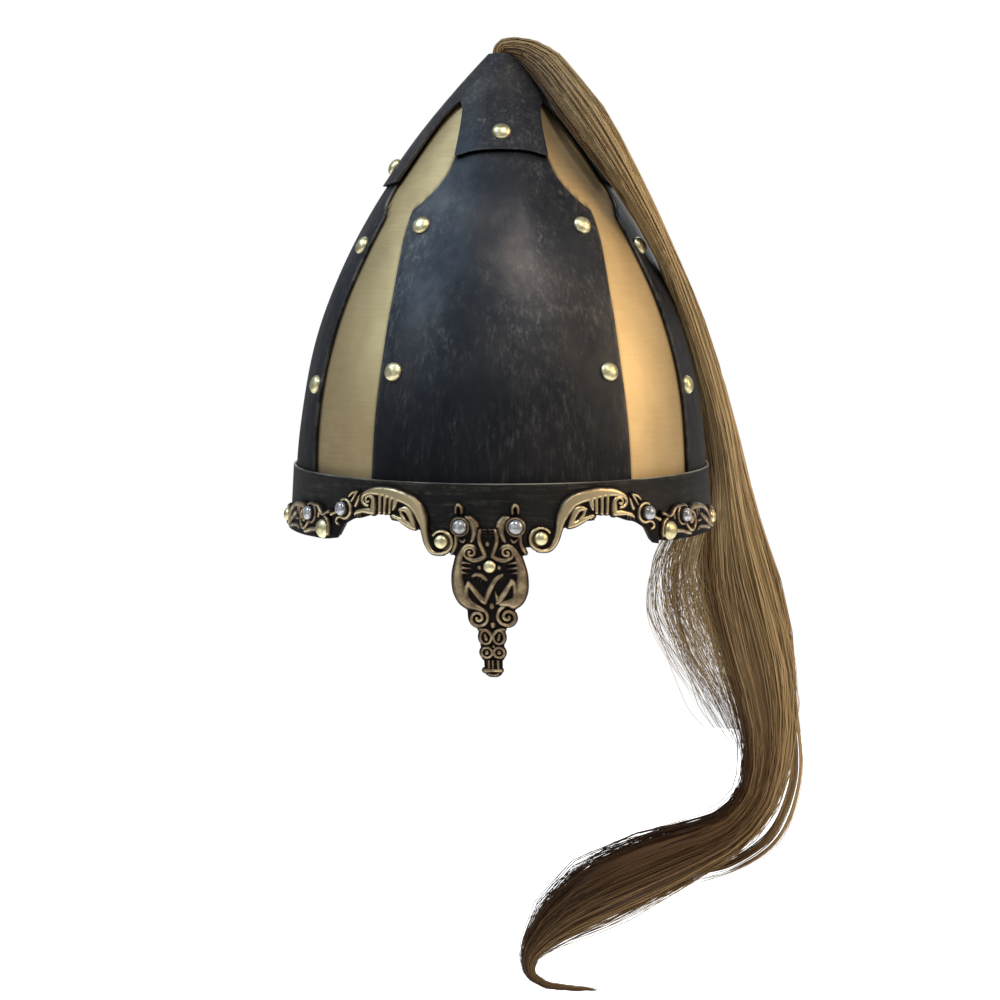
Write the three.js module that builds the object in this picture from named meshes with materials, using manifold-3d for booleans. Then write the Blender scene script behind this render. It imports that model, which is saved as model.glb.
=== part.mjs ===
// A conical iron and brass helmet with a cast bronze trim, a nasal guard and a horsehair plume.
// Millimetres, +Z up, the front towards -Y. The origin is the middle of the head opening, level with the rim.
import * as THREE from 'three';
import { mergeVertices } from 'three/addons/utils/BufferGeometryUtils.js';
import Module from 'manifold-3d';

// Skull
const HEAD_HALF_WIDTH = 102;
const OVAL = 1.157;
const SKULL_HEIGHT = 236;
const DOME_START = 20;
const DOME_POWER = 2.1;
const IRON_WALL = 1.5;
const BRASS_WALL = 1.2;
const SEAT_GAP = 0.3;
const ANGLE_STEP = 9;

// Cap
const CAP_WALL = 1.8;
const CAP_GAP = 0.5;
const CAP_TOP = 231.7;

// Band
const BAND_WALL = 1.2;
const BAND_GAP = 0.4;
const BAND_HEIGHT = 30.3;
const BAND_FOOT = 0.8;
const BAND_FLARE = 1.7;
const TONGUE_HALF_WIDTH = 7;
const TONGUE_LENGTH = 46;
const TRIM_SHIFT = -5.7;

// Cast trim, laid out in modules: one module is the width of a beast's eye ring
const MODULE = 10;
const CAST_WALL = 1.1;
const RELIEF = 1.6;
const BOSS_RISE = 1;
const CAST_SPLIT = 0.3;
const NASAL_LEAN = 0.045;
const SINK = 0.4;
const EDGE_COVER = 0.9;

// Rivets and crystals. Punched holes are square, and wide enough for the round shank.
const RIVET_RADIUS = 4.5;
const RIVET_RISE = 2.9;
const SHANK_RADIUS = 1.6;
const SHANK_END = 0.7;
const HOLE_GAP = 0.3;
const SIDE_RIVET_RADIUS = 4.2;
const TAIL_RIVET_RADIUS = 3.1;
const NASAL_RIVET_RADIUS = 2.9;
const TRIM_RIVET_DOME = 0.75;
const CRYSTAL_RADIUS = 3.1;
const CRYSTAL_RISE = 2.7;
const HOLE_CORNER = (SHANK_RADIUS + HOLE_GAP) * Math.SQRT2;

// Plume
const ROOT_RADIUS = 3.9;
const KNOT_RADIUS = 6.5;
const KNOT_DEPTH = 20;
const KNOT_LENGTH = 6;
const PLUME_WIDTH = 42;
const PLUME_FALL = 244;

// Facets
const GORE_STEPS = 6;
const CAP_ROWS = 3;
const RIVET_SIDES = 7;
const CRYSTAL_SIDES = 8;
const HOLE_SIDES = 4;
const BOSS_SIDES = 6;
const NASAL_COLUMNS = 3;
const REAR_COLUMNS = 26;
const LOCK_SIDES = 7;
const ROOT_SIDES = 10;

// Half-width of the end and side plates, in degrees either side of their middles.
// Heights are shares of SKULL_HEIGHT, and the gores share the plates' rows up to the plates' tops.
const PLATE_OUTLINE = [
  { height: 0.072, end: 36.3, side: 28.2 },
  { height: 0.19, end: 36.4, side: 27.6 },
  { height: 0.318, end: 36.6, side: 26.8 },
  { height: 0.45, end: 37, side: 25.6 },
  { height: 0.575, end: 38.3, side: 29.5 },
  { height: 0.618, end: 39.6, side: 29.5 },
  { height: 0.655, end: 41, side: 26.6 },
  { height: 0.685, end: 33.2, side: 25.4 },
  { height: 0.716, end: 28.4, side: 26.2 },
  { height: 0.84, end: 27.2, side: 25.6 },
];
const GORE_ROWS = [0.072, 0.19, 0.318, 0.45, 0.575, 0.655, 0.716, 0.84, 0.94];

// Lower edge of a cap lobe, by the angle from the lobe's middle; heights are shares of SKULL_HEIGHT
const END_LOBE = [
  { angle: 0, height: 0.776 },
  { angle: 9, height: 0.774 },
  { angle: 18, height: 0.769 },
  { angle: 27, height: 0.762 },
  { angle: 36, height: 0.826 },
  { angle: 45, height: 0.877 },
];
const SIDE_LOBE = [
  { angle: 0, height: 0.722 },
  { angle: 27, height: 0.72 },
  { angle: 36, height: 0.806 },
  { angle: 45, height: 0.877 },
];

// Rivets of one quarter of the skull: angle from the front, height as a share of SKULL_HEIGHT
const PLATE_RIVETS = [
  { angle: 33.4, height: 0.622 },
  { angle: 31.5, height: 0.336 },
  { angle: 65.5, height: 0.583 },
  { angle: 66.7, height: 0.301 },
];
const CAP_RIVETS = [
  { angle: 0, height: 0.811 },
  { angle: 90, height: 0.748 },
  { angle: 180, height: 0.811 },
  { angle: 270, height: 0.748 },
];

// Nasal casting, in modules: height over the rim, half-width either side of its leaning middle line
const NASAL_OUTLINE = [
  { height: 1.62, half: 1.1 },
  { height: 1.4, half: 1.62 },
  { height: 0.2, half: 1.64 },
  { height: -0.3, half: 1.45 },
  { height: -0.8, half: 1.6 },
  { height: -1.4, half: 1.67 },
  { height: -2.0, half: 1.57 },
  { height: -2.4, half: 1.3 },
  { height: -2.7, half: 1.03 },
  { height: -3.05, half: 1.04 },
  { height: -3.6, half: 0.57 },
  { height: -4.6, half: 0.57 },
  { height: -4.95, half: 0.4 },
  { height: -5.45, half: 0.38 },
  { height: -5.66, half: 0.2 },
];

// Lower and upper edge of the castings beside the nasal, in modules out from the nasal's middle
const BROW_OUTLINE = [
  { out: 1.8, low: -0.13, high: 0.65 },
  { out: 2.15, low: -0.16, high: 0.93 },
  { out: 2.6, low: -0.07, high: 0.8 },
  { out: 2.83, low: 0.2, high: 1.1 },
  { out: 3.05, low: 0.6, high: 1.7 },
  { out: 3.25, low: 0.88, high: 1.98 },
  { out: 3.7, low: 1.02, high: 2.35 },
  { out: 4.3, low: 1.28, high: 2.6 },
  { out: 5.0, low: 1.45, high: 2.76 },
  { out: 5.8, low: 1.42, high: 2.72 },
  { out: 6.6, low: 1.24, high: 2.55 },
  { out: 7.3, low: 1.0, high: 2.2 },
  { out: 7.75, low: 0.66, high: 2.04 },
  { out: 8.1, low: 0.3, high: 1.86 },
  { out: 8.45, low: 0.08, high: 1.42 },
];
const TEMPLE_OUTLINE = [
  { out: 8.55, low: 0.03, high: 1.4 },
  { out: 9.4, low: 0, high: 1.46 },
  { out: 10.0, low: 0, high: 1.64 },
  { out: 10.8, low: 0, high: 1.6 },
  { out: 11.7, low: 0, high: 1.56 },
  { out: 12.5, low: 0, high: 1.48 },
  { out: 13.4, low: 0, high: 1.2 },
  { out: 14.2, low: 0, high: 1.24 },
  { out: 14.95, low: 0, high: 0.8 },
];
const REAR_HEIGHT = 0.8;

// Rivets that stand on the castings between the strokes, in modules
const NASAL_RIVET = { out: 0.02, up: -0.68 };
const SIDE_RIVET = { out: 9.15, up: 0.52 };

// Raised strokes of the relief, in modules: each row of a path is out, up, half-width
const NASAL_RELIEF = [
  { part: 'ear', path: [[1.14, 1.58, 0.09], [1.26, 1.95, 0.12]] },
  { part: 'crest and neck', path: [[0.95, 1.58, 0.06], [0.68, 1.42, 0.13], [0.62, 0.5, 0.09]] },
  { part: 'arm', path: [[0.2, 0.93, 0.13], [0.4, 0.65, 0.11], [0.24, -0.1, 0.1], [0.5, -0.36, 0.09]] },
  { part: 'back', path: [[1.02, 0.24, 0.09], [1.38, -0.35, 0.15], [1.46, -1.5, 0.22], [1.0, -2.34, 0.18]] },
  { part: 'muzzle', path: [[1.37, 0.6, 0.11], [1.56, 0.06, 0.09]] },
  { part: 'rib', path: [[1.2, -0.7, 0.08], [0.75, -0.8, 0.08]] },
  { part: 'far thigh', side: -1, path: [[0.98, -2.1, 0.15], [0.84, -1.45, 0.13]] },
  { part: 'far shin', side: -1, path: [[0.84, -1.45, 0.13], [0.3, -2.1, 0.13], [-0.3, -1.2, 0.1]] },
  { part: 'near leg', side: 1, path: [[1.14, -2.0, 0.13], [0.9, -1.38, 0.12], [0.34, -2.15, 0.12]] },
  { part: 'muzzle bar', side: 1, path: [[-0.34, -5.3, 0.09], [0.34, -5.3, 0.09]] },
];
// Round bosses: the rings round eyes and rivets, and the joints that are coiled in the casting
const NASAL_BOSSES = [
  { part: 'eye ring', out: 1.23, up: 1.1, radius: 0.47, crown: 0.86 },
  { part: 'shoulder', out: 0.78, up: -0.05, radius: 0.42, crown: 0.4 },
  { part: 'hip', out: 0.63, up: -2.96, radius: 0.42, crown: 0.4 },
  { part: 'mask eye', out: 0.29, up: -3.85, radius: 0.25, crown: 0.3, sides: 5 },
  { part: 'nostril', out: 0.25, up: -4.56, radius: 0.24, crown: 0.3, sides: 5 },
];
const BROW_RELIEF = [
  { part: 'rump', path: [[2.65, 0.06, 0.09], [3.0, 1.0, 0.15], [3.55, 1.95, 0.23]] },
  { part: 'back', path: [[3.55, 1.95, 0.23], [4.7, 2.44, 0.23], [6.0, 2.4, 0.13]] },
  { part: 'rib', path: [[5.2, 2.3, 0.08], [5.2, 1.62, 0.08]] },
  { part: 'rib', path: [[4.75, 2.25, 0.08], [4.75, 1.65, 0.08]] },
  { part: 'foreleg', path: [[5.7, 1.75, 0.12], [6.68, 1.42, 0.11]] },
  { part: 'thigh', path: [[4.0, 1.78, 0.09], [3.4, 1.02, 0.15]] },
  { part: 'shin', path: [[3.5, 1.08, 0.09], [4.55, 1.46, 0.11]] },
  { part: 'ear', path: [[6.65, 2.38, 0.07], [7.15, 2.08, 0.08]] },
  { part: 'snout', path: [[8.06, 1.28, 0.1], [8.32, 1.2, 0.08]] },
];
const BROW_BOSSES = [
  { part: 'tail ring', out: 2.15, up: 0.4, radius: 0.46, crown: 0.88 },
  { part: 'shoulder', out: 5.95, up: 2.1, radius: 0.4, crown: 0.4 },
  { part: 'eye ring', out: 7.65, up: 1.58, radius: 0.46, crown: 0.86 },
];
const TEMPLE_RELIEF = [
  { part: 'snout', path: [[8.7, 1.3, 0.07], [9.15, 1.18, 0.08], [9.8, 1.5, 0.08]] },
  { part: 'foreleg', path: [[9.95, 0.42, 0.09], [10.9, 0.4, 0.1]] },
  { part: 'back', path: [[11.0, 1.25, 0.12], [12.1, 1.36, 0.16], [13.2, 1.05, 0.14], [13.9, 0.42, 0.1]] },
  { part: 'thigh', path: [[12.4, 0.96, 0.12], [13.4, 0.35, 0.12]] },
  { part: 'shin', path: [[11.7, 0.3, 0.08], [13.1, 0.16, 0.07]] },
];
const TEMPLE_BOSSES = [
  { part: 'eye ring', out: 10.55, up: 1.12, radius: 0.46, crown: 0.86 },
  { part: 'shoulder', out: 11.25, up: 0.78, radius: 0.38, crown: 0.4 },
  { part: 'tail ring', out: 14.2, up: 0.68, radius: 0.48, crown: 0.88 },
];

// Each casting is hand fitted: shift and lift in modules, turn in degrees about the brow beast's middle
const BROW_MIDDLE = [5, 1.5];
const BROW_FIT = {
  left: { shift: 0, lift: 0, turn: 0 },
  right: { shift: 0.25, lift: 0.02, turn: -3 },
};
const TEMPLE_FIT = {
  left: { shift: 0, lift: 0, turn: 0 },
  right: { shift: 0.25, lift: 0, turn: 0 },
};

// Plume sections in the air over the cap: offsets from the cap's mouth and half-widths, shares of PLUME_WIDTH
const PLUME_ARCH = [
  { out: 0, back: 0, up: -0.1, wide: 0.08, thick: 0.08 },
  { out: 0.02, back: 0, up: 0.07, wide: 0.07, thick: 0.08 },
  { out: 0.24, back: -0.05, up: 0.105, wide: 0.1, thick: 0.11 },
  { out: 0.48, back: -0.2, up: -0.11, wide: 0.165, thick: 0.14 },
];
// Then down beside the skull: out and back as shares of the local half-width and half-depth,
// height as a share of SKULL_HEIGHT
const PLUME_SIDE = [
  { out: 1.44, back: -0.98, height: 0.909, wide: 0.19, thick: 0.16 },
  { out: 1.19, back: -0.89, height: 0.831, wide: 0.21, thick: 0.18 },
  { out: 1.08, back: -0.62, height: 0.7, wide: 0.175, thick: 0.18 },
  { out: 1.08, back: -0.35, height: 0.572, wide: 0.155, thick: 0.18 },
  { out: 1.12, back: -0.08, height: 0.465, wide: 0.185, thick: 0.2 },
  { out: 1.14, back: 0.17, height: 0.272, wide: 0.2, thick: 0.22 },
  { out: 1.2, back: 0.35, height: 0.1, wide: 0.25, thick: 0.22 },
];
// Then below the rim: out and back as shares of HEAD_HALF_WIDTH, down as a share of PLUME_FALL
const PLUME_DROP = [
  { out: 1.19, back: 0.5, down: 0.02, wide: 0.4, thick: 0.22 },
  { out: 1.21, back: 0.5, down: 0.15, wide: 0.5, thick: 0.22 },
  { out: 1.28, back: 0.5, down: 0.28, wide: 0.48, thick: 0.22 },
  { out: 1.36, back: 0.49, down: 0.405, wide: 0.42, thick: 0.2 },
  { out: 1.39, back: 0.48, down: 0.53, wide: 0.31, thick: 0.18 },
  { out: 1.32, back: 0.47, down: 0.63, wide: 0.29, thick: 0.18 },
  { out: 1.19, back: 0.46, down: 0.69, wide: 0.3, thick: 0.18 },
  { out: 1.0, back: 0.45, down: 0.725, wide: 0.36, thick: 0.2 },
  { out: 0.82, back: 0.43, down: 0.748, wide: 0.45, thick: 0.22 },
  { out: 0.64, back: 0.41, down: 0.778, wide: 0.5, thick: 0.24 },
  { out: 0.45, back: 0.39, down: 0.815, wide: 0.46, thick: 0.22 },
  { out: 0.3, back: 0.37, down: 0.852, wide: 0.36, thick: 0.18 },
  { out: 0.195, back: 0.35, down: 0.893, wide: 0.21, thick: 0.13 },
  { out: 0.138, back: 0.34, down: 0.934, wide: 0.1, thick: 0.08 },
  { out: 0.15, back: 0.33, down: 0.968, wide: 0.055, thick: 0.05 },
  { out: 0.225, back: 0.33, down: 0.992, wide: 0.04, thick: 0.035 },
  { out: 0.35, back: 0.33, down: 0.997, wide: 0.03, thick: 0.025 },
  { out: 0.488, back: 0.33, down: 1, wide: 0.015, thick: 0.015 },
];
// Loose locks that leave the plume and join it again, in the same shares as PLUME_DROP
const OUTER_LOCK = [
  { out: 1.44, back: 0.5, down: 0.33, wide: 0.09, thick: 0.09 },
  { out: 1.535, back: 0.5, down: 0.46, wide: 0.06, thick: 0.07 },
  { out: 1.535, back: 0.49, down: 0.6, wide: 0.07, thick: 0.07 },
  { out: 1.41, back: 0.48, down: 0.71, wide: 0.08, thick: 0.07 },
  { out: 1.17, back: 0.46, down: 0.775, wide: 0.08, thick: 0.07 },
  { out: 0.85, back: 0.43, down: 0.81, wide: 0.1, thick: 0.08 },
];
const INNER_LOCK = [
  { out: 1.05, back: 0.5, down: 0.02, wide: 0.08, thick: 0.08 },
  { out: 0.87, back: 0.5, down: 0.11, wide: 0.07, thick: 0.07 },
  { out: 0.81, back: 0.5, down: 0.2, wide: 0.07, thick: 0.07 },
  { out: 0.89, back: 0.5, down: 0.3, wide: 0.07, thick: 0.07 },
  { out: 1.1, back: 0.49, down: 0.4, wide: 0.07, thick: 0.07 },
  { out: 1.26, back: 0.49, down: 0.5, wide: 0.1, thick: 0.08 },
];

const wasm = await Module();
wasm.setup();

const iron = new THREE.MeshStandardMaterial({ color: 0x24262b, roughness: 0.45, metalness: 0.9 });
const brass = new THREE.MeshStandardMaterial({ color: 0xa88d5c, roughness: 0.4, metalness: 0.9 });
const bronze = new THREE.MeshStandardMaterial({ color: 0x8a7350, roughness: 0.4, metalness: 0.85 });
const rivetBrass = new THREE.MeshStandardMaterial({ color: 0xc9b877, roughness: 0.3, metalness: 0.95 });
const crystal = new THREE.MeshStandardMaterial({ color: 0xb9bcc4, roughness: 0.2, metalness: 0.3 });
const horsehair = new THREE.MeshStandardMaterial({ color: 0x8a6f47, roughness: 0.6, metalness: 0 });

const helmet = new THREE.Group();

function addPiece(name, geometry, material) {
  const mesh = new THREE.Mesh(geometry, material);
  mesh.name = name;
  helmet.add(mesh);
}

function rad(degrees) {
  return (degrees * Math.PI) / 180;
}

// A value read off a table between its rows
function readTable(rows, key, at, value) {
  if (at <= rows[0][key]) return rows[0][value];
  for (let i = 1; i < rows.length; i += 1) {
    if (at <= rows[i][key]) {
      const share = (at - rows[i - 1][key]) / (rows[i][key] - rows[i - 1][key]);
      return rows[i - 1][value] + share * (rows[i][value] - rows[i - 1][value]);
    }
  }
  return rows[rows.length - 1][value];
}

// Half-width of the iron plates' outer face at a height
function halfWidth(z) {
  const climb = Math.max(0, z - DOME_START) / (SKULL_HEIGHT - DOME_START);
  return HEAD_HALF_WIDTH * (1 - climb ** DOME_POWER);
}

function halfDepth(z) {
  return halfWidth(z) * (1 + (OVAL - 1) * (1 - Math.max(0, z) / SKULL_HEIGHT));
}

// A point near the skull: angle in degrees from the front towards +X, height, distance out from the iron
function onSkull(angle, z, out) {
  const turn = rad(angle);
  return new THREE.Vector3((halfWidth(z) + out) * Math.sin(turn), -(halfDepth(z) + out) * Math.cos(turn), z);
}

// Band face: a straight flare, wider towards the rim
const BAND_FACE = BAND_GAP + BAND_WALL;
const bandWidth = HEAD_HALF_WIDTH + BAND_FACE;
const bandDepth = HEAD_HALF_WIDTH * OVAL + BAND_FACE;

function onBand(angle, z, out) {
  const turn = rad(angle);
  const grow = BAND_FLARE * (1 - z / BAND_HEIGHT) + out;
  return new THREE.Vector3((bandWidth + grow) * Math.sin(turn), -(bandDepth + grow) * Math.cos(turn), z);
}

// Angle on the band for a distance along it from the front
const ARC_TABLE = [{ along: 0, angle: 0 }];
const ARC_STEP = 1;
for (let angle = ARC_STEP; angle <= 360; angle += ARC_STEP) {
  const mid = rad(angle - ARC_STEP / 2);
  const speed = Math.hypot(bandWidth * Math.cos(mid), bandDepth * Math.sin(mid));
  ARC_TABLE.push({ along: ARC_TABLE[angle - 1].along + speed * rad(ARC_STEP), angle });
}
const BAND_GIRTH = ARC_TABLE[360].along;

function bandAngle(along) {
  return Math.sign(along) * readTable(ARC_TABLE, 'along', Math.abs(along), 'angle');
}

// A point on the trim: distance along from the nasal's middle, height, distance out from the band
function onTrim(along, z, out) {
  return onBand(bandAngle(along + TRIM_SHIFT), z, out);
}

function trimAxis(along, z) {
  const side = onTrim(along + 1, z, 0).sub(onTrim(along - 1, z, 0));
  const up = onTrim(along, z + 1, 0).sub(onTrim(along, z - 1, 0));
  return side.cross(up).normalize();
}

function skullAxis(angle, z) {
  const side = onSkull(angle + 1, z, 0).sub(onSkull(angle - 1, z, 0));
  const up = onSkull(angle, z + 1, 0).sub(onSkull(angle, z - 1, 0));
  return side.cross(up).normalize();
}

function geometryOf(points, faces) {
  const geometry = new THREE.BufferGeometry();
  const numbers = points.flatMap((p) => [p.x, p.y, p.z]);
  geometry.setAttribute('position', new THREE.Float32BufferAttribute(numbers, 3));
  geometry.setIndex(faces.flat());
  return geometry;
}

// A closed wall over a grid: place(column, row, 1) is its outer face and place(column, row, 0) its inner face.
// A closed ring joins its last column to its first.
function wall(columns, rows, place, ring = false) {
  const points = [];
  const faces = [];
  const width = ring ? columns : columns + 1;
  const at = (i, j, side) => ((i % width) * (rows + 1) + j) * 2 + side;
  for (let i = 0; i < width; i += 1) {
    for (let j = 0; j <= rows; j += 1) points.push(place(i, j, 0), place(i, j, 1));
  }
  const quad = (a, b, c, d) => faces.push([a, b, c], [a, c, d]);
  for (let i = 0; i < columns; i += 1) {
    for (let j = 0; j < rows; j += 1) {
      quad(at(i, j, 1), at(i + 1, j, 1), at(i + 1, j + 1, 1), at(i, j + 1, 1));
      quad(at(i, j, 0), at(i, j + 1, 0), at(i + 1, j + 1, 0), at(i + 1, j, 0));
    }
    quad(at(i, 0, 1), at(i, 0, 0), at(i + 1, 0, 0), at(i + 1, 0, 1));
    quad(at(i, rows, 1), at(i + 1, rows, 1), at(i + 1, rows, 0), at(i, rows, 0));
  }
  for (let j = 0; j < rows && !ring; j += 1) {
    quad(at(0, j, 1), at(0, j + 1, 1), at(0, j + 1, 0), at(0, j, 0));
    quad(at(columns, j, 1), at(columns, j, 0), at(columns, j + 1, 0), at(columns, j + 1, 1));
  }
  return geometryOf(points, faces);
}

function toSolid(geometry) {
  const bare = geometry.clone();
  bare.deleteAttribute('normal');
  bare.deleteAttribute('uv');
  const merged = mergeVertices(bare, 1e-4);
  const vertProperties = new Float32Array(merged.attributes.position.array);
  const triVerts = new Uint32Array(merged.index.array);
  return new wasm.Manifold(new wasm.Mesh({ numProp: 3, vertProperties, triVerts }));
}

function toGeometry(solid) {
  const mesh = solid.getMesh();
  const geometry = new THREE.BufferGeometry();
  geometry.setAttribute('position', new THREE.Float32BufferAttribute(mesh.vertProperties, 3));
  geometry.setIndex(Array.from(mesh.triVerts));
  return geometry;
}

// A geometry made along +Z, moved so that +Z is the axis and its zero is the point
function aim(geometry, point, axis) {
  const turn = new THREE.Quaternion().setFromUnitVectors(new THREE.Vector3(0, 0, 1), axis);
  return geometry.applyQuaternion(turn).translate(point.x, point.y, point.z);
}

function peg(radius, low, high, sides) {
  const rod = new THREE.CylinderGeometry(radius, radius, high - low, sides);
  return rod.rotateX(Math.PI / 2).translate(0, 0, (low + high) / 2);
}

// A solid turned about +Z from rows of radius and height
function turned(profile, sides) {
  const lathe = new THREE.LatheGeometry(profile.map(([r, z]) => new THREE.Vector2(r, z)), sides);
  return lathe.rotateX(Math.PI / 2);
}

// Domed rivet: the head rests SEAT_GAP over its seat and the shank runs down through the walls
function rivetGeometry(radius, rise, depth) {
  const profile = [
    [0, -depth - SHANK_END],
    [SHANK_RADIUS, -depth - SHANK_END],
    [SHANK_RADIUS, SEAT_GAP],
    [radius, SEAT_GAP],
    [radius * 0.8, rise * 0.7],
    [0, rise],
  ];
  return turned(profile, RIVET_SIDES);
}

function angleApart(a, b) {
  return Math.abs(((a - b + 540) % 360) - 180);
}

// Seats on the skull: the point under a rivet's head and the way its shank runs
function skullSeat(angle, z, out) {
  return { angle, point: onSkull(angle, z, out), axis: skullAxis(angle, z) };
}
const GORE_FACE = -IRON_WALL - SEAT_GAP;
const GORE_BACK = GORE_FACE - BRASS_WALL;
const CAP_FACE = CAP_GAP + CAP_WALL;
const plateSeats = [];
for (const front of [0, 180]) {
  for (const side of [-1, 1]) {
    for (const row of PLATE_RIVETS) {
      const angle = front === 0 ? side * row.angle : 180 - side * row.angle;
      plateSeats.push(skullSeat(angle, row.height * SKULL_HEIGHT, 0));
    }
  }
}
const capSeats = CAP_RIVETS.map((row) => skullSeat(row.angle, row.height * SKULL_HEIGHT, CAP_FACE));

function drill(geometry, seats) {
  let solid = toSolid(geometry);
  for (const seat of seats) {
    const tool = peg(HOLE_CORNER, -3 * RIVET_RADIUS, 3 * RIVET_RADIUS, HOLE_SIDES);
    solid = solid.subtract(toSolid(aim(tool, seat.point, seat.axis)));
  }
  return toGeometry(solid);
}

// Iron plate: columns on whole angle steps, then one between and one on the edge
function plate(name, middle, key) {
  const narrow = Math.min(...PLATE_OUTLINE.map((row) => row[key]));
  const inner = Math.floor(narrow / ANGLE_STEP);
  const spread = (half) => {
    const between = Math.min((inner + 1) * ANGLE_STEP, (inner * ANGLE_STEP + half) / 2);
    const steps = [];
    for (let k = -inner; k <= inner; k += 1) steps.push(k * ANGLE_STEP);
    return [-half, -between, ...steps, between, half];
  };
  const shell = wall(2 * inner + 4, PLATE_OUTLINE.length - 1, (i, j, side) => {
    const row = PLATE_OUTLINE[j];
    return onSkull(middle + spread(row[key])[i], row.height * SKULL_HEIGHT, side ? 0 : -IRON_WALL);
  });
  const near = (seat) => angleApart(seat.angle, middle) < narrow + ANGLE_STEP;
  const seats = [...plateSeats, ...capSeats].filter(near);
  addPiece(name, drill(shell, seats), iron);
}

plate('front_plate', 0, 'end');
plate('right_plate', 90, 'side');
plate('back_plate', 180, 'end');
plate('left_plate', 270, 'side');

// Brass gores between the iron plates
const GORE_REACH = (GORE_STEPS / 2) * ANGLE_STEP;
for (let n = 0; n < 4; n += 1) {
  const middle = 45 + 90 * n;
  const shell = wall(GORE_STEPS, GORE_ROWS.length - 1, (i, j, side) =>
    onSkull(middle - GORE_REACH + i * ANGLE_STEP, GORE_ROWS[j] * SKULL_HEIGHT, side ? GORE_FACE : GORE_BACK));
  const seats = plateSeats.filter((seat) => angleApart(seat.angle, middle) < GORE_REACH);
  addPiece(`brass_gore_${n + 1}`, drill(shell, seats), brass);
}

// Cap: four lobes round an open mouth
const capShell = wall(360 / ANGLE_STEP, CAP_ROWS, (i, j, side) => {
  const angle = i * ANGLE_STEP;
  const lobe = Math.round(angle / 90) % 2 === 0 ? END_LOBE : SIDE_LOBE;
  const fromMiddle = angleApart(angle, Math.round(angle / 90) * 90);
  const foot = readTable(lobe, 'angle', fromMiddle, 'height') * SKULL_HEIGHT;
  const z = foot + (CAP_TOP - foot) * (j / CAP_ROWS);
  return onSkull(angle, z, side ? CAP_FACE : CAP_GAP);
}, true);
addPiece('apex_cap', drill(capShell, capSeats), iron);

plateSeats.forEach((seat, n) => {
  const head = rivetGeometry(RIVET_RADIUS, RIVET_RISE, -GORE_BACK);
  addPiece(`plate_rivet_${n + 1}`, aim(head, seat.point, seat.axis), rivetBrass);
});
capSeats.forEach((seat, n) => {
  const head = rivetGeometry(RIVET_RADIUS, RIVET_RISE, CAP_FACE + IRON_WALL);
  addPiece(`cap_rivet_${n + 1}`, aim(head, seat.point, seat.axis), rivetBrass);
});

// Places a point of a casting's table on its side of the nasal
function fitPoint(fit, side, out, up) {
  const turn = rad(fit.turn);
  const dx = out - BROW_MIDDLE[0];
  const dz = up - BROW_MIDDLE[1];
  const x = BROW_MIDDLE[0] + fit.shift + dx * Math.cos(turn) - dz * Math.sin(turn);
  const z = BROW_MIDDLE[1] + fit.lift + dx * Math.sin(turn) + dz * Math.cos(turn);
  return { along: side * x * MODULE, z: z * MODULE };
}

// Relief: a roof-shaped ridge along a path, sunk a little into the casting
function ridge(rows, side, place) {
  const points = [];
  const faces = [];
  rows.forEach(([out, up, half], i) => {
    const before = rows[Math.max(0, i - 1)];
    const after = rows[Math.min(rows.length - 1, i + 1)];
    const across = new THREE.Vector2(before[1] - after[1], after[0] - before[0]);
    across.setLength(half).multiplyScalar(side);
    points.push(place(out + across.x, up + across.y, CAST_WALL - SINK));
    points.push(place(out, up, CAST_WALL + RELIEF));
    points.push(place(out - across.x, up - across.y, CAST_WALL - SINK));
  });
  const last = (rows.length - 1) * 3;
  for (let a = 0; a < last; a += 1) {
    const b = a % 3 === 2 ? a - 2 : a + 1;
    faces.push([a, b, b + 3], [a, b + 3, a + 3]);
  }
  faces.push([0, 2, 1], [last, last + 1, last + 2]);
  return toSolid(geometryOf(points, faces));
}

// A round boss that narrows to its crown
function boss({ out, up, radius, crown, sides = BOSS_SIDES }, side, place) {
  const points = [];
  const faces = [];
  for (let k = 0; k < sides; k += 1) {
    const turn = (-side * 2 * Math.PI * k) / sides;
    const x = radius * Math.cos(turn);
    const z = radius * Math.sin(turn);
    points.push(place(out + x, up + z, CAST_WALL - SINK));
    points.push(place(out + crown * x, up + crown * z, CAST_WALL + BOSS_RISE));
    const next = (k + 1) % sides;
    faces.push([2 * k, 2 * k + 1, 2 * next + 1], [2 * k, 2 * next + 1, 2 * next]);
    if (k > 0 && next > 0) faces.push([0, 2 * k, 2 * next], [1, 2 * next + 1, 2 * k + 1]);
  }
  return toSolid(geometryOf(points, faces));
}

const trimRivets = [];
const crystals = [];

// A seat on the trim: rivets and crystals stand on the casting, or on the boss that is there
function addSeat(list, name, radius, lift, place) {
  const point = onTrim(place.along, place.z, SEAT_GAP + CAST_WALL + lift);
  const seat = { name, radius, lift, point, axis: trimAxis(place.along, place.z) };
  list.push(seat);
  return seat;
}

function bossOf(bosses, part) {
  return bosses.find((row) => row.part === part);
}

// Nasal casting
const nasalPlace = (out, up) => ({ along: (out - up * NASAL_LEAN) * MODULE, z: up * MODULE });
const nasalBase = wall(NASAL_COLUMNS, NASAL_OUTLINE.length - 1, (i, j, side) => {
  const row = NASAL_OUTLINE[NASAL_OUTLINE.length - 1 - j];
  const at = nasalPlace(row.half * ((2 * i) / NASAL_COLUMNS - 1), row.height);
  return onTrim(at.along, at.z, side ? SEAT_GAP + CAST_WALL : SEAT_GAP);
});
let nasal = toSolid(nasalBase);
for (const side of [-1, 1]) {
  const place = (out, up, high) => {
    const at = nasalPlace(side * out, up);
    return onTrim(at.along, at.z, SEAT_GAP + high);
  };
  const strokes = NASAL_RELIEF.filter((row) => (row.side || side) === side);
  for (const row of strokes) nasal = nasal.add(ridge(row.path, side, place));
  for (const row of NASAL_BOSSES) nasal = nasal.add(boss(row, side, place));
}
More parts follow.
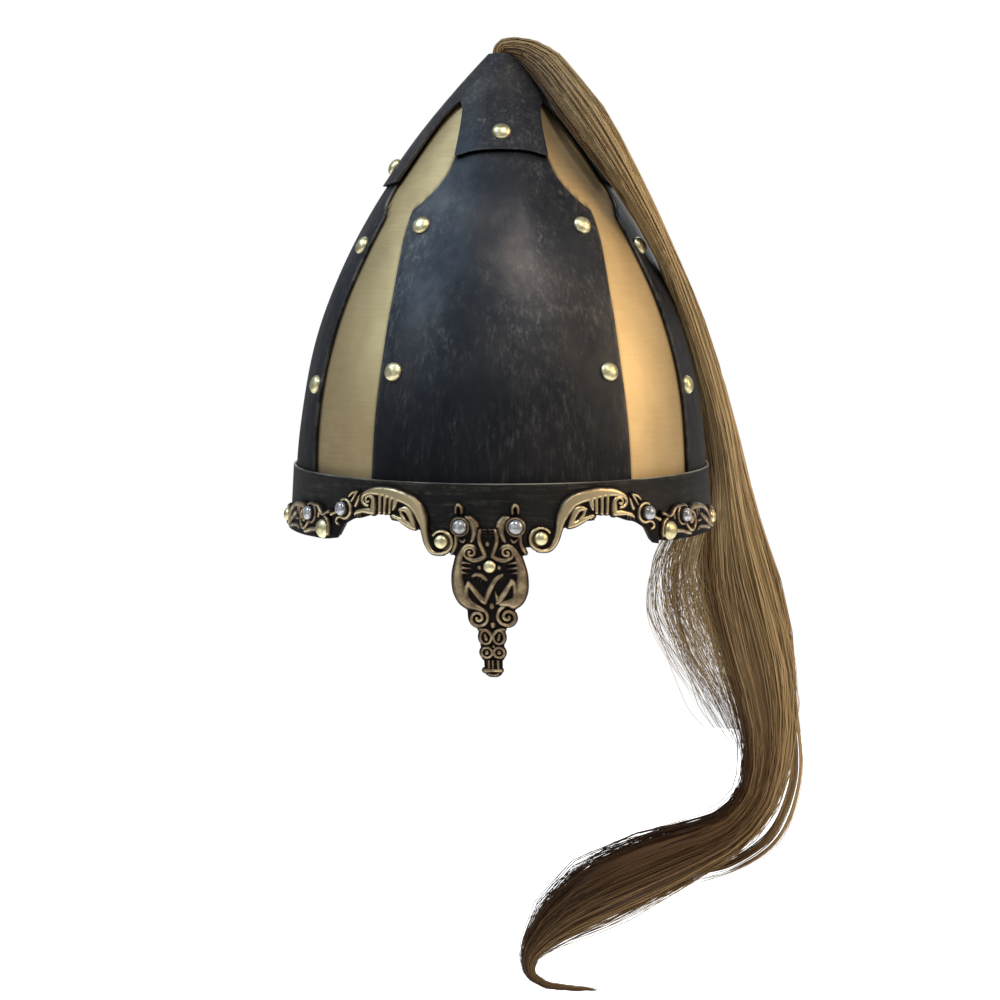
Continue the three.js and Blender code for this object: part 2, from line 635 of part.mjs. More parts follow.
const nasalEye = bossOf(NASAL_BOSSES, 'eye ring');
addSeat(crystals, 'crystal_nasal_left', CRYSTAL_RADIUS, BOSS_RISE, nasalPlace(-nasalEye.out, nasalEye.up));
addSeat(crystals, 'crystal_nasal_right', CRYSTAL_RADIUS, BOSS_RISE, nasalPlace(nasalEye.out, nasalEye.up));
const nasalAt = nasalPlace(NASAL_RIVET.out, NASAL_RIVET.up);
const nasalSeat = addSeat(trimRivets, 'trim_rivet_nasal', NASAL_RIVET_RADIUS, 0, nasalAt);
addPiece('nasal_casting', drill(toGeometry(nasal), [nasalSeat]), bronze);

// Brow and side castings, one pair each side
function castStrip(outline, relief, bosses, fit, side) {
  const rows = side > 0 ? outline : [...outline].reverse();
  const base = wall(rows.length - 1, 1, (i, j, face) => {
    const at = fitPoint(fit, side, rows[i].out, j ? rows[i].high : rows[i].low);
    return onTrim(at.along, at.z, face ? SEAT_GAP + CAST_WALL : SEAT_GAP);
  });
  const place = (out, up, high) => {
    const at = fitPoint(fit, side, out, up);
    return onTrim(at.along, at.z, SEAT_GAP + high);
  };
  let solid = toSolid(base);
  for (const row of relief) solid = solid.add(ridge(row.path, side, place));
  for (const row of bosses) solid = solid.add(boss(row, side, place));
  return solid;
}

for (const [hand, side] of [['left', -1], ['right', 1]]) {
  const browAt = (row) => fitPoint(BROW_FIT[hand], side, row.out, row.up);
  const tail = browAt(bossOf(BROW_BOSSES, 'tail ring'));
  const tailSeat = addSeat(trimRivets, `trim_rivet_tail_${hand}`, TAIL_RIVET_RADIUS, BOSS_RISE, tail);
  addSeat(crystals, `crystal_brow_${hand}`, CRYSTAL_RADIUS, BOSS_RISE, browAt(bossOf(BROW_BOSSES, 'eye ring')));
  const brow = castStrip(BROW_OUTLINE, BROW_RELIEF, BROW_BOSSES, BROW_FIT[hand], side);
  addPiece(`${hand}_brow_casting`, drill(toGeometry(brow), [tailSeat]), bronze);

  const templeAt = (row) => fitPoint(TEMPLE_FIT[hand], side, row.out, row.up);
  const eye = templeAt(bossOf(TEMPLE_BOSSES, 'eye ring'));
  const rear = templeAt(bossOf(TEMPLE_BOSSES, 'tail ring'));
  addSeat(crystals, `crystal_side_${hand}`, CRYSTAL_RADIUS, BOSS_RISE, eye);
  const templeSeats = [
    addSeat(trimRivets, `trim_rivet_side_${hand}`, SIDE_RIVET_RADIUS, 0, templeAt(SIDE_RIVET)),
    addSeat(trimRivets, `trim_rivet_rear_${hand}`, TAIL_RIVET_RADIUS, BOSS_RISE, rear),
  ];
  const temple = castStrip(TEMPLE_OUTLINE, TEMPLE_RELIEF, TEMPLE_BOSSES, TEMPLE_FIT[hand], side);
  addPiece(`${hand}_side_casting`, drill(toGeometry(temple), templeSeats), bronze);
}

// Plain trim strip round the back, from one temple casting's end to the other's
const templeEnd = TEMPLE_OUTLINE[TEMPLE_OUTLINE.length - 1].out;
const rearStart = fitPoint(TEMPLE_FIT.right, 1, templeEnd, 0).along + CAST_SPLIT;
const rearEnd = BAND_GIRTH + fitPoint(TEMPLE_FIT.left, -1, templeEnd, 0).along - CAST_SPLIT;
const rearStep = (rearEnd - rearStart) / REAR_COLUMNS;
const rearAlong = Array.from({ length: REAR_COLUMNS + 1 }, (_, i) => rearStart + i * rearStep);
const rearStrip = wall(REAR_COLUMNS, 1, (i, j, side) =>
  onTrim(rearAlong[i], j * REAR_HEIGHT * MODULE, side ? SEAT_GAP + CAST_WALL : SEAT_GAP));
addPiece('rear_trim', rearStrip, bronze);

// Brow band: its lower edge follows the castings over the eyes, and a tongue runs down behind the nasal
const tongueEdge = [
  { along: 0, z: -TONGUE_LENGTH },
  { along: 0.42 * TONGUE_HALF_WIDTH, z: -TONGUE_LENGTH },
  { along: TONGUE_HALF_WIDTH, z: -0.4 * TONGUE_LENGTH },
  { along: 1.1 * TONGUE_HALF_WIDTH, z: BAND_FOOT },
];

// Every second row of the castings' outlines is enough for the band behind them
function sideEdge(browFit, templeFit) {
  const second = (row, i) => i % 2 === 1;
  const eye = BROW_OUTLINE.filter(second).map((row) => fitPoint(browFit, 1, row.out, row.low));
  const temple = TEMPLE_OUTLINE.filter(second).map((row) => fitPoint(templeFit, 1, row.out, row.low));
  return [
    ...eye.map((at) => ({ along: at.along, z: Math.max(BAND_FOOT, at.z + EDGE_COVER) })),
    ...temple.map((at) => ({ along: at.along, z: BAND_FOOT })),
  ];
}
const edgeLeft = [...tongueEdge.slice(1), ...sideEdge(BROW_FIT.left, TEMPLE_FIT.left)];
const bandEdge = [
  ...edgeLeft.reverse().map((row) => ({ along: -row.along, z: row.z })),
  ...tongueEdge,
  ...sideEdge(BROW_FIT.right, TEMPLE_FIT.right),
  ...rearAlong.slice(1, -1).map((along) => ({ along, z: BAND_FOOT })),
];
const band = wall(bandEdge.length, 1, (i, j, side) => {
  const z = j ? BAND_HEIGHT : bandEdge[i].z;
  return onTrim(bandEdge[i].along, z, side ? 0 : -BAND_WALL);
}, true);
addPiece('brow_band', drill(band, trimRivets), iron);

for (const seat of trimRivets) {
  const depth = seat.lift + CAST_WALL + SEAT_GAP + BAND_WALL;
  const head = rivetGeometry(seat.radius, TRIM_RIVET_DOME * seat.radius, depth);
  addPiece(seat.name, aim(head, seat.point, seat.axis), rivetBrass);
}

// Crystal: facets in two tiers round a flat table
for (const seat of crystals) {
  const profile = [
    [0, SEAT_GAP],
    [seat.radius, SEAT_GAP],
    [seat.radius, SEAT_GAP + 0.3 * CRYSTAL_RISE],
    [0.78 * seat.radius, SEAT_GAP + 0.72 * CRYSTAL_RISE],
    [0.42 * seat.radius, SEAT_GAP + CRYSTAL_RISE],
    [0, SEAT_GAP + CRYSTAL_RISE],
  ];
  const cut = turned(profile, CRYSTAL_SIDES);
  addPiece(seat.name, aim(cut, seat.point, seat.axis), crystal);
}

// Plume: locks of hair fused to a root that sits in the cap's mouth, with a knot under it
function lock(sections) {
  const path = new THREE.CatmullRomCurve3(sections.map((row) => row.at), false, 'centripetal');
  const count = sections.length - 1;
  const points = [];
  const faces = [];
  for (let i = 0; i <= count; i += 1) {
    const t = i / count;
    const row = sections[i];
    const centre = path.getPoint(t);
    const ahead = path.getTangent(t);
    const depth = new THREE.Vector3(0, 1, 0).addScaledVector(ahead, -ahead.y).normalize();
    const across = new THREE.Vector3().crossVectors(ahead, depth);
    for (let k = 0; k < LOCK_SIDES; k += 1) {
      const turn = (2 * Math.PI * k) / LOCK_SIDES;
      const wide = row.wide * PLUME_WIDTH * Math.cos(turn);
      const thick = row.thick * PLUME_WIDTH * Math.sin(turn);
      points.push(centre.clone().addScaledVector(across, wide).addScaledVector(depth, thick));
    }
  }
  for (let i = 0; i < count; i += 1) {
    for (let k = 0; k < LOCK_SIDES; k += 1) {
      const a = i * LOCK_SIDES + k;
      const b = i * LOCK_SIDES + ((k + 1) % LOCK_SIDES);
      faces.push([a, b + LOCK_SIDES, b], [a, a + LOCK_SIDES, b + LOCK_SIDES]);
    }
  }
  for (let k = 1; k < LOCK_SIDES - 1; k += 1) {
    const end = count * LOCK_SIDES;
    faces.push([0, k, k + 1]);
    faces.push([end, end + k + 1, end + k]);
  }
  return toSolid(geometryOf(points, faces));
}

const archSections = PLUME_ARCH.map((row) => ({
  ...row,
  at: new THREE.Vector3(row.out, row.back, row.up + CAP_TOP / PLUME_WIDTH).multiplyScalar(PLUME_WIDTH),
}));
const sideSections = PLUME_SIDE.map((row) => {
  const z = row.height * SKULL_HEIGHT;
  return { ...row, at: new THREE.Vector3(row.out * halfWidth(z), row.back * halfDepth(z), z) };
});
const dropSections = (table) => table.map((row) => ({
  ...row,
  at: new THREE.Vector3(row.out * HEAD_HALF_WIDTH, row.back * HEAD_HALF_WIDTH, -row.down * PLUME_FALL),
}));
const rootProfile = [
  [0, CAP_TOP - KNOT_DEPTH],
  [KNOT_RADIUS, CAP_TOP - KNOT_DEPTH],
  [KNOT_RADIUS, CAP_TOP - KNOT_DEPTH + KNOT_LENGTH],
  [ROOT_RADIUS, CAP_TOP - KNOT_DEPTH + 1.5 * KNOT_LENGTH],
  [ROOT_RADIUS, CAP_TOP + 0.5 * ROOT_RADIUS],
  [0, CAP_TOP + 0.5 * ROOT_RADIUS],
];
let plume = toSolid(turned(rootProfile, ROOT_SIDES));
for (const sections of [
  [...archSections, ...sideSections, ...dropSections(PLUME_DROP)],
  dropSections(OUTER_LOCK),
  dropSections(INNER_LOCK),
]) plume = plume.add(lock(sections));
addPiece('plume', toGeometry(plume), horsehair);

export default helmet;
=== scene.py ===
"""A conical helmet of riveted iron and brass with a cast bronze trim, a nasal guard and a horsehair plume.

Shapes are worked out in millimetres from the frame's sizes and scaled to metres when a mesh is made.
"""

import math

import bpy
import numpy as np
from mathutils import Matrix, Vector


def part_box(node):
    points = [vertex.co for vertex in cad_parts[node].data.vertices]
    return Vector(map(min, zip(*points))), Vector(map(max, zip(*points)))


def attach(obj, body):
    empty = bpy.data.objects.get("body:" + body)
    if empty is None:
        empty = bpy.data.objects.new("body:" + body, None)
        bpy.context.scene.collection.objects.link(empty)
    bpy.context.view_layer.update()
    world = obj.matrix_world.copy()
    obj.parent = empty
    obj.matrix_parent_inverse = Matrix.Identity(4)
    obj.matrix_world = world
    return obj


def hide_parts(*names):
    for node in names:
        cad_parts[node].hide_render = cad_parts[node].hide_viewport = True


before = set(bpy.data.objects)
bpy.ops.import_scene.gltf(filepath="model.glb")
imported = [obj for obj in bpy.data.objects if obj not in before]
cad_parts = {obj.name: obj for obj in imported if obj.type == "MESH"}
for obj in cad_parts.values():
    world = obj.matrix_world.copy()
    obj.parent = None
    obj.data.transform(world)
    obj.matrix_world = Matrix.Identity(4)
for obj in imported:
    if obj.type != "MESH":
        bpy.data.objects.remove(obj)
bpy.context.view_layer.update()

MM = 0.001
rng = np.random.default_rng(7)


def top_of(node):
    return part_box(node)[1] / MM


def table(columns, rows):
    """Rows with named columns; a row may leave out the last ones."""
    return [dict(zip(columns.split(), row)) for row in rows]


# Sizes read off the frame
HEAD_HALF_WIDTH = top_of("right_plate").x
CAP_TOP = top_of("apex_cap").z
BAND_HEIGHT = top_of("brow_band").z
PLUME_FALL = -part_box("plume")[0].z / MM

# Skull
OVAL = 1.157
SKULL_HEIGHT = 236
DOME_START = 20
DOME_POWER = 2.1
IRON_WALL = 1.5
BRASS_WALL = 1.2
SEAT_GAP = 0.3
CAP_WALL = 1.8
CAP_GAP = 0.5
CAP_FACE = CAP_GAP + CAP_WALL
GORE_FACE = -IRON_WALL - SEAT_GAP

# Band
BAND_WALL = 1.2
BAND_GAP = 0.4
BAND_FOOT = 0.8
BAND_LIP = 0.9
BAND_STEP = 1.8
EDGE_COVER = 0.9
BAND_FLARE = 1.7
TONGUE_HALF_WIDTH = 7
TONGUE_LENGTH = 46
TRIM_SHIFT = -5.7

# Cast trim, laid out in modules
MODULE = 10
CAST_WALL = 1.1
NASAL_LEAN = 0.045
REAR_HEIGHT = 0.8
CAST_SPLIT = 0.3

# How bright each casting's raised parts are painted, a painted light by how each casting faces the lamps, and
# the grids that they are cut from, in millimetres
NASAL_PAINTED_LIGHT = 0.93
BROW_PAINTED_LIGHT = 1.16
SIDE_PAINTED_LIGHT = 1.02
REAR_PAINTED_LIGHT = 0.62
NASAL_GRID = (-20, 20, -58, 24)
GRID_BEFORE = 8
GRID_AFTER = 4
GRID_LOW = -6
GRID_HIGH = 31

# Rivets and crystals
RIVET_RADIUS = 4.5
RIVET_RISE = 3.1
CRYSTAL_RISE = 2.7

# Plume: the width that its tables are shares of, the points of a lock's middle line, and how much closer
# its stations come together where it bends
PLUME_WIDTH = 42
LINE_POINTS = 400
BEND_WEIGHT = 90

# Mesh fineness, in millimetres and degrees
SHEET_STEP = 2.0
ANGLE_STEP = 1.5
GORE_ANGLE_STEP = 0.75
SHEET_BEVEL = 0.35
THICK_BEVEL = 0.4

# How far the painted shade reaches beside the plates and under the cap's edge
SHADE_REACH = 2.2
CAP_SHADE = 3.6

# Half-width of the end and side plates in degrees either side of their middles, by share of SKULL_HEIGHT
PLATE_OUTLINE = table("height end side", [
    (0.072, 36.3, 28.3), (0.2, 36.0, 27.6), (0.335, 36.0, 27.0), (0.475, 37.0, 28.0), (0.553, 38.9, 29.5),
    (0.601, 40.5, 30.4), (0.635, 41.1, 31.2), (0.652, 41.3, 29.6), (0.663, 38.6, 26.9), (0.679, 35.2, 25.6),
    (0.697, 32.0, 25.2), (0.716, 29.6, 25.4), (0.735, 28.0, 25.8), (0.76, 27.4, 25.8), (0.84, 27.2, 25.6),
])
GORE_TOP = 0.94
GORE_REACH = 27

# Lower edge of a cap lobe by the angle from the lobe's middle, as a share of SKULL_HEIGHT
END_LOBE = table("angle height", [
    (0, 0.776), (9, 0.775), (18, 0.771), (26.4, 0.763), (27.6, 0.785), (29, 0.808), (32, 0.838),
    (37, 0.864), (45, 0.88),
])
SIDE_LOBE = table("angle height", [
    (0, 0.708), (14, 0.709), (27, 0.714), (28.6, 0.745), (29.8, 0.786), (32.5, 0.83), (38, 0.862),
    (45, 0.88),
])

# Rivets of one quarter of the skull: angle from the front, height as a share of SKULL_HEIGHT
PLATE_RIVETS = table("angle height", [
    (33.4, 0.622), (31.5, 0.336), (65.5, 0.583), (66.7, 0.301),
])
CAP_RIVETS = table("angle height", [
    (0, 0.811), (90, 0.748), (180, 0.811), (270, 0.748),
])

# Nasal casting, in modules about its leaning middle line: height over the rim, half-width
NASAL_BASE = table("height half", [
    (-5.67, 0.1), (-5.6, 0.27), (-5.48, 0.37), (-5.3, 0.39), (-4.95, 0.4), (-4.8, 0.5), (-4.55, 0.57),
    (-4.25, 0.5), (-4.05, 0.55), (-3.65, 0.57), (-3.5, 0.62), (-3.3, 0.9), (-3.0, 1.02), (-2.7, 1.03),
    (-2.45, 1.25), (-2.2, 1.44), (-1.9, 1.57), (-1.3, 1.62), (-0.8, 1.56), (-0.45, 1.49), (-0.3, 1.47),
    (-0.05, 1.62), (0.2, 1.62), (0.6, 1.5), (1.0, 1.3),
])
# Strokes of the relief, in modules. A point of a path is out, up, half-width.
# A stroke with a side is on that side only.
NASAL_STROKES = table("part path side rise", [
    ("ear", [
        (1.12, 1.72, 0.045), (1.13, 1.95, 0.055), (1.27, 2.1, 0.06), (1.37, 1.97, 0.055),
        (1.38, 1.74, 0.05)
    ]),
    ("crest", [
        (0.94, 1.54, 0.05), (0.74, 1.45, 0.12), (0.61, 1.17, 0.15), (0.6, 0.87, 0.11), (0.67, 0.58, 0.085),
        (0.74, 0.45, 0.05)
    ]),
    ("crest tip", [(0.66, 1.4, 0.1), (0.5, 1.25, 0.09), (0.4, 1.1, 0.03)]),
    ("muzzle", [(1.42, 0.68, 0.065), (1.42, 0.39, 0.075), (1.5, 0.14, 0.08), (1.61, -0.07, 0.06)]),
    ("mouth", [(1.02, 0.52, 0.045), (1.1, 0.42, 0.05), (1.25, 0.5, 0.04), (1.33, 0.62, 0.04)]),
    ("arm", [
        (0.34, 0.95, 0.07), (0.39, 0.67, 0.085), (0.37, 0.4, 0.08), (0.25, 0.06, 0.085),
        (0.155, -0.2, 0.08)
    ]),
    ("shoulder", [(0.155, -0.2, 0.08), (0.36, -0.33, 0.09), (0.66, -0.4, 0.095), (0.92, -0.31, 0.075)]),
    ("finger", [(0.05, 0.98, 0.035), (0.3, 0.97, 0.035)]),
    ("finger", [(0.07, 0.84, 0.03), (0.28, 0.85, 0.03)]),
    ("finger", [(0.08, 0.72, 0.03), (0.27, 0.74, 0.03)]),
    ("back", [
        (0.5, 0.1, 0.035), (0.66, 0.25, 0.05), (0.9, 0.28, 0.07), (1.12, 0.06, 0.1), (1.27, -0.25, 0.13),
        (1.35, -0.6, 0.155), (1.4, -1.0, 0.19), (1.39, -1.4, 0.215), (1.33, -1.8, 0.225),
        (1.17, -2.15, 0.22), (0.95, -2.37, 0.19)
    ]),
    ("rib", [(1.14, -0.5, 0.055), (0.62, -0.57, 0.02)]),
    ("rib", [(1.17, -0.73, 0.055), (0.72, -0.79, 0.02)]),
    ("rib", [(1.2, -0.95, 0.05), (0.88, -1.0, 0.02)]),
    ("thigh", [(1.08, -2.15, 0.15), (1.03, -1.65, 0.095), (0.93, -1.43, 0.07)], -1),
    ("shin", [(0.93, -1.43, 0.08), (0.63, -1.85, 0.11), (0.35, -2.2, 0.11), (0.23, -2.32, 0.06)], -1),
    ("foot", [
        (0.25, -2.29, 0.08), (0.05, -1.8, 0.105), (-0.16, -1.4, 0.1), (-0.34, -1.18, 0.09),
        (-0.55, -1.04, 0.06)
    ], -1),
    ("toe", [(-0.5, -1.06, 0.035), (-0.6, -1.2, 0.03)], -1),
    ("toe", [(-0.4, -1.12, 0.035), (-0.5, -1.27, 0.03)], -1),
    ("haunch", [(0.95, -2.37, 0.19), (0.66, -2.5, 0.13), (0.35, -2.63, 0.09)], -1),
    ("paw", [
        (0.75, -1.12, 0.05), (0.58, -1.04, 0.075), (0.38, -1.06, 0.08), (0.24, -1.18, 0.085),
        (0.14, -1.28, 0.05)
    ], -1),
    ("finger", [(0.44, -1.1, 0.035), (0.52, -1.27, 0.03)], -1),
    ("finger", [(0.33, -1.18, 0.035), (0.41, -1.38, 0.03)], -1),
    ("thigh", [(1.1, -2.05, 0.13), (1.05, -1.5, 0.085), (0.96, -1.3, 0.07)], 1),
    ("shin", [(0.96, -1.31, 0.08), (0.66, -1.8, 0.11), (0.38, -2.2, 0.11), (0.26, -2.32, 0.06)], 1),
    ("foot", [(0.31, -2.22, 0.09), (0.2, -1.78, 0.03)], 1),
    ("haunch", [(0.97, -2.3, 0.19), (0.66, -2.33, 0.13), (0.42, -2.36, 0.07)], 1),
    ("mask brow", [(0.52, -3.5, 0.055), (0.3, -3.53, 0.055), (0.12, -3.68, 0.055), (0.0, -3.84, 0.055)]),
    ("pupil", [(0.31, -3.75, 0.065), (0.26, -3.95, 0.08)]),
    ("nostril dot", [(0.26, -4.54, 0.095), (0.26, -4.56, 0.095)]),
    ("lip", [(0.19, -4.93, 0.05), (0.19, -5.22, 0.05)]),
    ("lip middle", [(-0.03, -4.93, 0.05), (-0.03, -5.22, 0.05)], 1),
    ("bar", [(-0.38, -5.36, 0.07), (0.3, -5.36, 0.07)], 1),
    ("chin", [(-0.28, -5.5, 0.04), (0.0, -5.57, 0.045), (0.22, -5.5, 0.04)], 1),
    ("bead", [(-0.03, 0.33, 0.085), (-0.03, 0.36, 0.085)], 1),
    ("bead", [(0.43, -0.71, 0.08), (0.43, -0.73, 0.08)]),
    ("bead", [(0.04, -2.44, 0.11), (0.04, -2.47, 0.11)], 1),
    ("bead", [(0.05, -3.3, 0.11), (0.05, -3.35, 0.09)], 1),
    ("bead", [(0.04, -4.26, 0.055), (0.04, -4.28, 0.055)], 1),
    ("eye seat", [(1.23, 1.09, 0.3), (1.23, 1.11, 0.3)], 0, 0.6),
])
# Rings and coils: centre, radius at each end, where they start and how far they turn in degrees, half-width
NASAL_COILS = table("part out up radius end start turn half side tall", [
    ("eye ring", 1.23, 1.1, 0.39, 0.39, 0, 360, 0.05),
    ("shoulder coil", 0.79, -0.05, 0.31, 0.05, -70, 500, 0.06),
    ("hip coil", 0.57, -3.0, 0.45, 0.06, 110, 610, 0.07, -1),
    ("hip coil", 0.7, -2.94, 0.48, 0.06, 110, 610, 0.075, 1),
    ("mask eye", 0.28, -3.85, 0.23, 0.23, 0, 360, 0.055, 0, 1.35),
    ("nostril", 0.26, -4.55, 0.22, 0.22, 0, 360, 0.055),
])

# Lower and upper edge of the castings beside the nasal, in modules out from the nasal's middle
BROW_BASE = table("out low high", [
    (1.85, -0.1, 0.7), (2.1, -0.2, 0.88), (2.5, -0.12, 0.9), (2.65, 0.0, 0.75), (2.8, 0.2, 0.95),
    (2.9, 0.45, 1.3), (3.0, 0.66, 1.58), (3.08, 0.8, 1.78), (3.18, 0.9, 1.98), (3.4, 0.91, 2.25),
    (3.6, 1.0, 2.4), (3.8, 1.12, 2.5), (4.0, 1.2, 2.56), (4.5, 1.25, 2.7), (4.62, 1.35, 2.72),
    (4.7, 1.47, 2.73), (5.0, 1.5, 2.75), (5.3, 1.49, 2.75), (5.7, 1.43, 2.7), (6.0, 1.35, 2.58),
    (6.3, 1.27, 2.4), (6.6, 1.22, 2.25), (6.85, 1.17, 2.1), (7.1, 1.07, 2.0), (7.35, 0.95, 1.95),
    (7.55, 0.82, 1.92), (7.75, 0.55, 1.85), (7.95, 0.27, 1.7), (8.05, 0.18, 1.45), (8.45, 0.12, 1.2),
])
BROW_STROKES = table("part path rise", [
    ("back", [
        (2.02, -0.13, 0.055), (2.3, -0.13, 0.065), (2.56, -0.02, 0.09), (2.78, 0.35, 0.11),
        (2.9, 0.82, 0.125), (2.97, 1.2, 0.175), (3.08, 1.5, 0.22), (3.25, 1.83, 0.24), (3.5, 2.1, 0.235),
        (3.85, 2.27, 0.23), (4.3, 2.4, 0.23), (4.75, 2.5, 0.21), (5.25, 2.54, 0.185), (5.7, 2.51, 0.155),
        (6.03, 2.42, 0.115), (6.23, 2.27, 0.085), (6.26, 2.06, 0.08), (6.12, 1.9, 0.075),
        (5.92, 1.85, 0.06)
    ]),
    ("arm", [
        (5.64, 1.6, 0.15), (5.6, 1.9, 0.15), (5.62, 2.15, 0.11), (5.78, 2.29, 0.085), (5.97, 2.27, 0.06),
        (6.05, 2.12, 0.055), (5.96, 2.0, 0.05), (5.86, 2.06, 0.045)
    ]),
    ("foreleg", [
        (5.64, 1.6, 0.13), (6.0, 1.61, 0.12), (6.3, 1.58, 0.09), (6.55, 1.52, 0.085), (6.7, 1.42, 0.055)
    ]),
    ("toe", [(6.66, 1.44, 0.04), (6.73, 1.3, 0.035)]),
    ("toe", [(6.52, 1.46, 0.04), (6.53, 1.29, 0.035)]),
    ("toe", [(6.38, 1.47, 0.04), (6.37, 1.32, 0.035)]),
    ("rib", [(5.22, 2.42, 0.085), (5.22, 1.6, 0.075)]),
    ("rib", [(4.93, 2.38, 0.085), (4.95, 1.6, 0.075)]),
    ("rib", [(4.64, 2.35, 0.085), (4.67, 1.62, 0.075)]),
    ("belly", [(4.35, 2.32, 0.13), (4.42, 2.0, 0.11), (4.48, 1.75, 0.05)]),
    ("thigh", [
        (4.14, 1.77, 0.07), (3.9, 1.8, 0.12), (3.7, 1.7, 0.145), (3.56, 1.45, 0.135), (3.46, 1.2, 0.12),
        (3.38, 0.97, 0.07)
    ]),
    ("shin", [
        (3.38, 0.98, 0.08), (3.62, 1.08, 0.11), (3.95, 1.26, 0.11), (4.2, 1.37, 0.08), (4.45, 1.46, 0.075)
    ]),
    ("knee", [(4.1, 1.72, 0.06), (4.02, 1.5, 0.07), (3.85, 1.3, 0.06)]),
    ("toe", [(4.5, 1.5, 0.045), (4.63, 1.42, 0.035)]),
    ("toe", [(4.46, 1.44, 0.04), (4.56, 1.32, 0.035)]),
    ("toe", [(4.36, 1.42, 0.04), (4.42, 1.3, 0.035)]),
    ("mane", [(6.42, 2.37, 0.025), (6.52, 2.1, 0.06), (6.68, 1.8, 0.08)]),
    ("ear", [(6.63, 2.43, 0.045), (6.93, 2.36, 0.055), (7.17, 2.16, 0.04)]),
    ("ear", [(6.65, 2.42, 0.045), (6.8, 2.2, 0.05), (6.97, 1.98, 0.045)]),
    ("jaw", [
        (7.62, 1.19, 0.055), (7.86, 1.17, 0.055), (8.0, 1.04, 0.055), (7.97, 0.9, 0.055),
        (7.83, 0.84, 0.045)
    ]),
    ("snout", [(8.06, 1.38, 0.05), (8.28, 1.3, 0.055), (8.42, 1.26, 0.085)]),
    ("eye seat", [(7.65, 1.57, 0.3), (7.65, 1.59, 0.3)], 0.6),
    ("tail seat", [(2.1, 0.39, 0.3), (2.1, 0.41, 0.3)], 0.6),
])
BROW_COILS = table("part out up radius end start turn half", [
    ("tail ring", 2.1, 0.4, 0.5, 0.47, 262, -225, 0.055),
    ("tail crescent", 2.1, 0.4, 0.39, 0.39, 250, -140, 0.035),
    ("eye ring", 7.45, 1.59, 0.44, 0.44, 62, 235, 0.065),
])

TEMPLE_BASE = table("out low high", [
    (8.55, 0.1, 0.95), (8.9, 0.06, 1.15), (9.4, 0.04, 1.2), (9.7, 0.03, 1.5), (10.3, 0.02, 1.6),
    (10.8, 0.01, 1.5), (11.2, 0.0, 1.45), (11.7, 0.0, 1.56), (12.3, 0.0, 1.55), (12.8, 0.0, 1.42),
    (13.4, 0.0, 1.18), (13.8, 0.0, 1.1), (14.5, 0.0, 1.12), (14.95, 0.0, 0.8),
])
TEMPLE_STROKES = table("part path rise", [
    ("snout", [
        (8.64, 1.36, 0.075), (8.88, 1.28, 0.07), (9.08, 1.19, 0.055), (9.33, 1.24, 0.08), (9.5, 1.4, 0.07),
        (9.65, 1.53, 0.06), (10.0, 1.58, 0.055), (10.5, 1.58, 0.055), (10.72, 1.5, 0.045)
    ]),
    ("cheek", [(9.45, 1.35, 0.07), (9.52, 1.05, 0.05)]),
    ("foreleg", [(9.75, 0.45, 0.09), (10.2, 0.4, 0.09), (10.6, 0.3, 0.085), (10.95, 0.22, 0.07)]),
    ("shoulder", [
        (10.6, 0.68, 0.07), (10.8, 0.5, 0.08), (11.1, 0.36, 0.08), (11.42, 0.42, 0.07),
        (11.55, 0.75, 0.075), (11.45, 1.1, 0.08), (11.1, 1.28, 0.07)
    ]),
    ("back", [
        (10.95, 1.3, 0.08), (11.45, 1.41, 0.12), (12.0, 1.42, 0.12), (12.5, 1.36, 0.1), (13.0, 1.22, 0.1),
        (13.4, 0.98, 0.09), (13.72, 0.62, 0.07)
    ]),
    ("thigh", [
        (12.3, 1.0, 0.06), (12.5, 0.92, 0.1), (12.9, 0.76, 0.12), (13.3, 0.58, 0.12), (13.65, 0.3, 0.08)
    ]),
    ("shin", [
        (13.6, 0.2, 0.07), (13.0, 0.32, 0.075), (12.5, 0.38, 0.075), (12.05, 0.4, 0.07), (11.8, 0.3, 0.05)
    ]),
    ("paw", [(12.25, 0.72, 0.05), (11.9, 0.72, 0.055)]),
    ("rib", [(11.78, 1.3, 0.05), (11.82, 0.92, 0.04)]),
    ("rib", [(12.02, 1.3, 0.05), (12.06, 0.98, 0.035)]),
    ("eye seat", [(10.55, 1.11, 0.3), (10.55, 1.13, 0.3)], 0.6),
    ("tail seat", [(14.2, 0.67, 0.3), (14.2, 0.69, 0.3)], 0.6),
])
TEMPLE_COILS = table("part out up radius end start turn half", [
    ("eye ring", 10.3, 1.16, 0.46, 0.46, 75, 220, 0.05),
    ("shoulder coil", 11.15, 0.82, 0.2, 0.05, 0, 480, 0.05),
    ("rivet collar", 9.15, 0.55, 0.58, 0.58, 110, 95, 0.06),
    ("tail ring", 14.2, 0.68, 0.46, 0.46, 0, 360, 0.055),
])

# Each casting is fitted: shift and lift in modules, turn in degrees about the brow beast's middle
BROW_MIDDLE = (5, 1.5)
BROW_FIT = {
    "left": {"shift": 0, "lift": 0, "turn": 0},
    "right": {"shift": 0.25, "lift": 0.02, "turn": -3},
}
TEMPLE_FIT = {
    "left": {"shift": 0, "lift": 0, "turn": 0},
    "right": {"shift": 0.25, "lift": 0, "turn": 0},
}

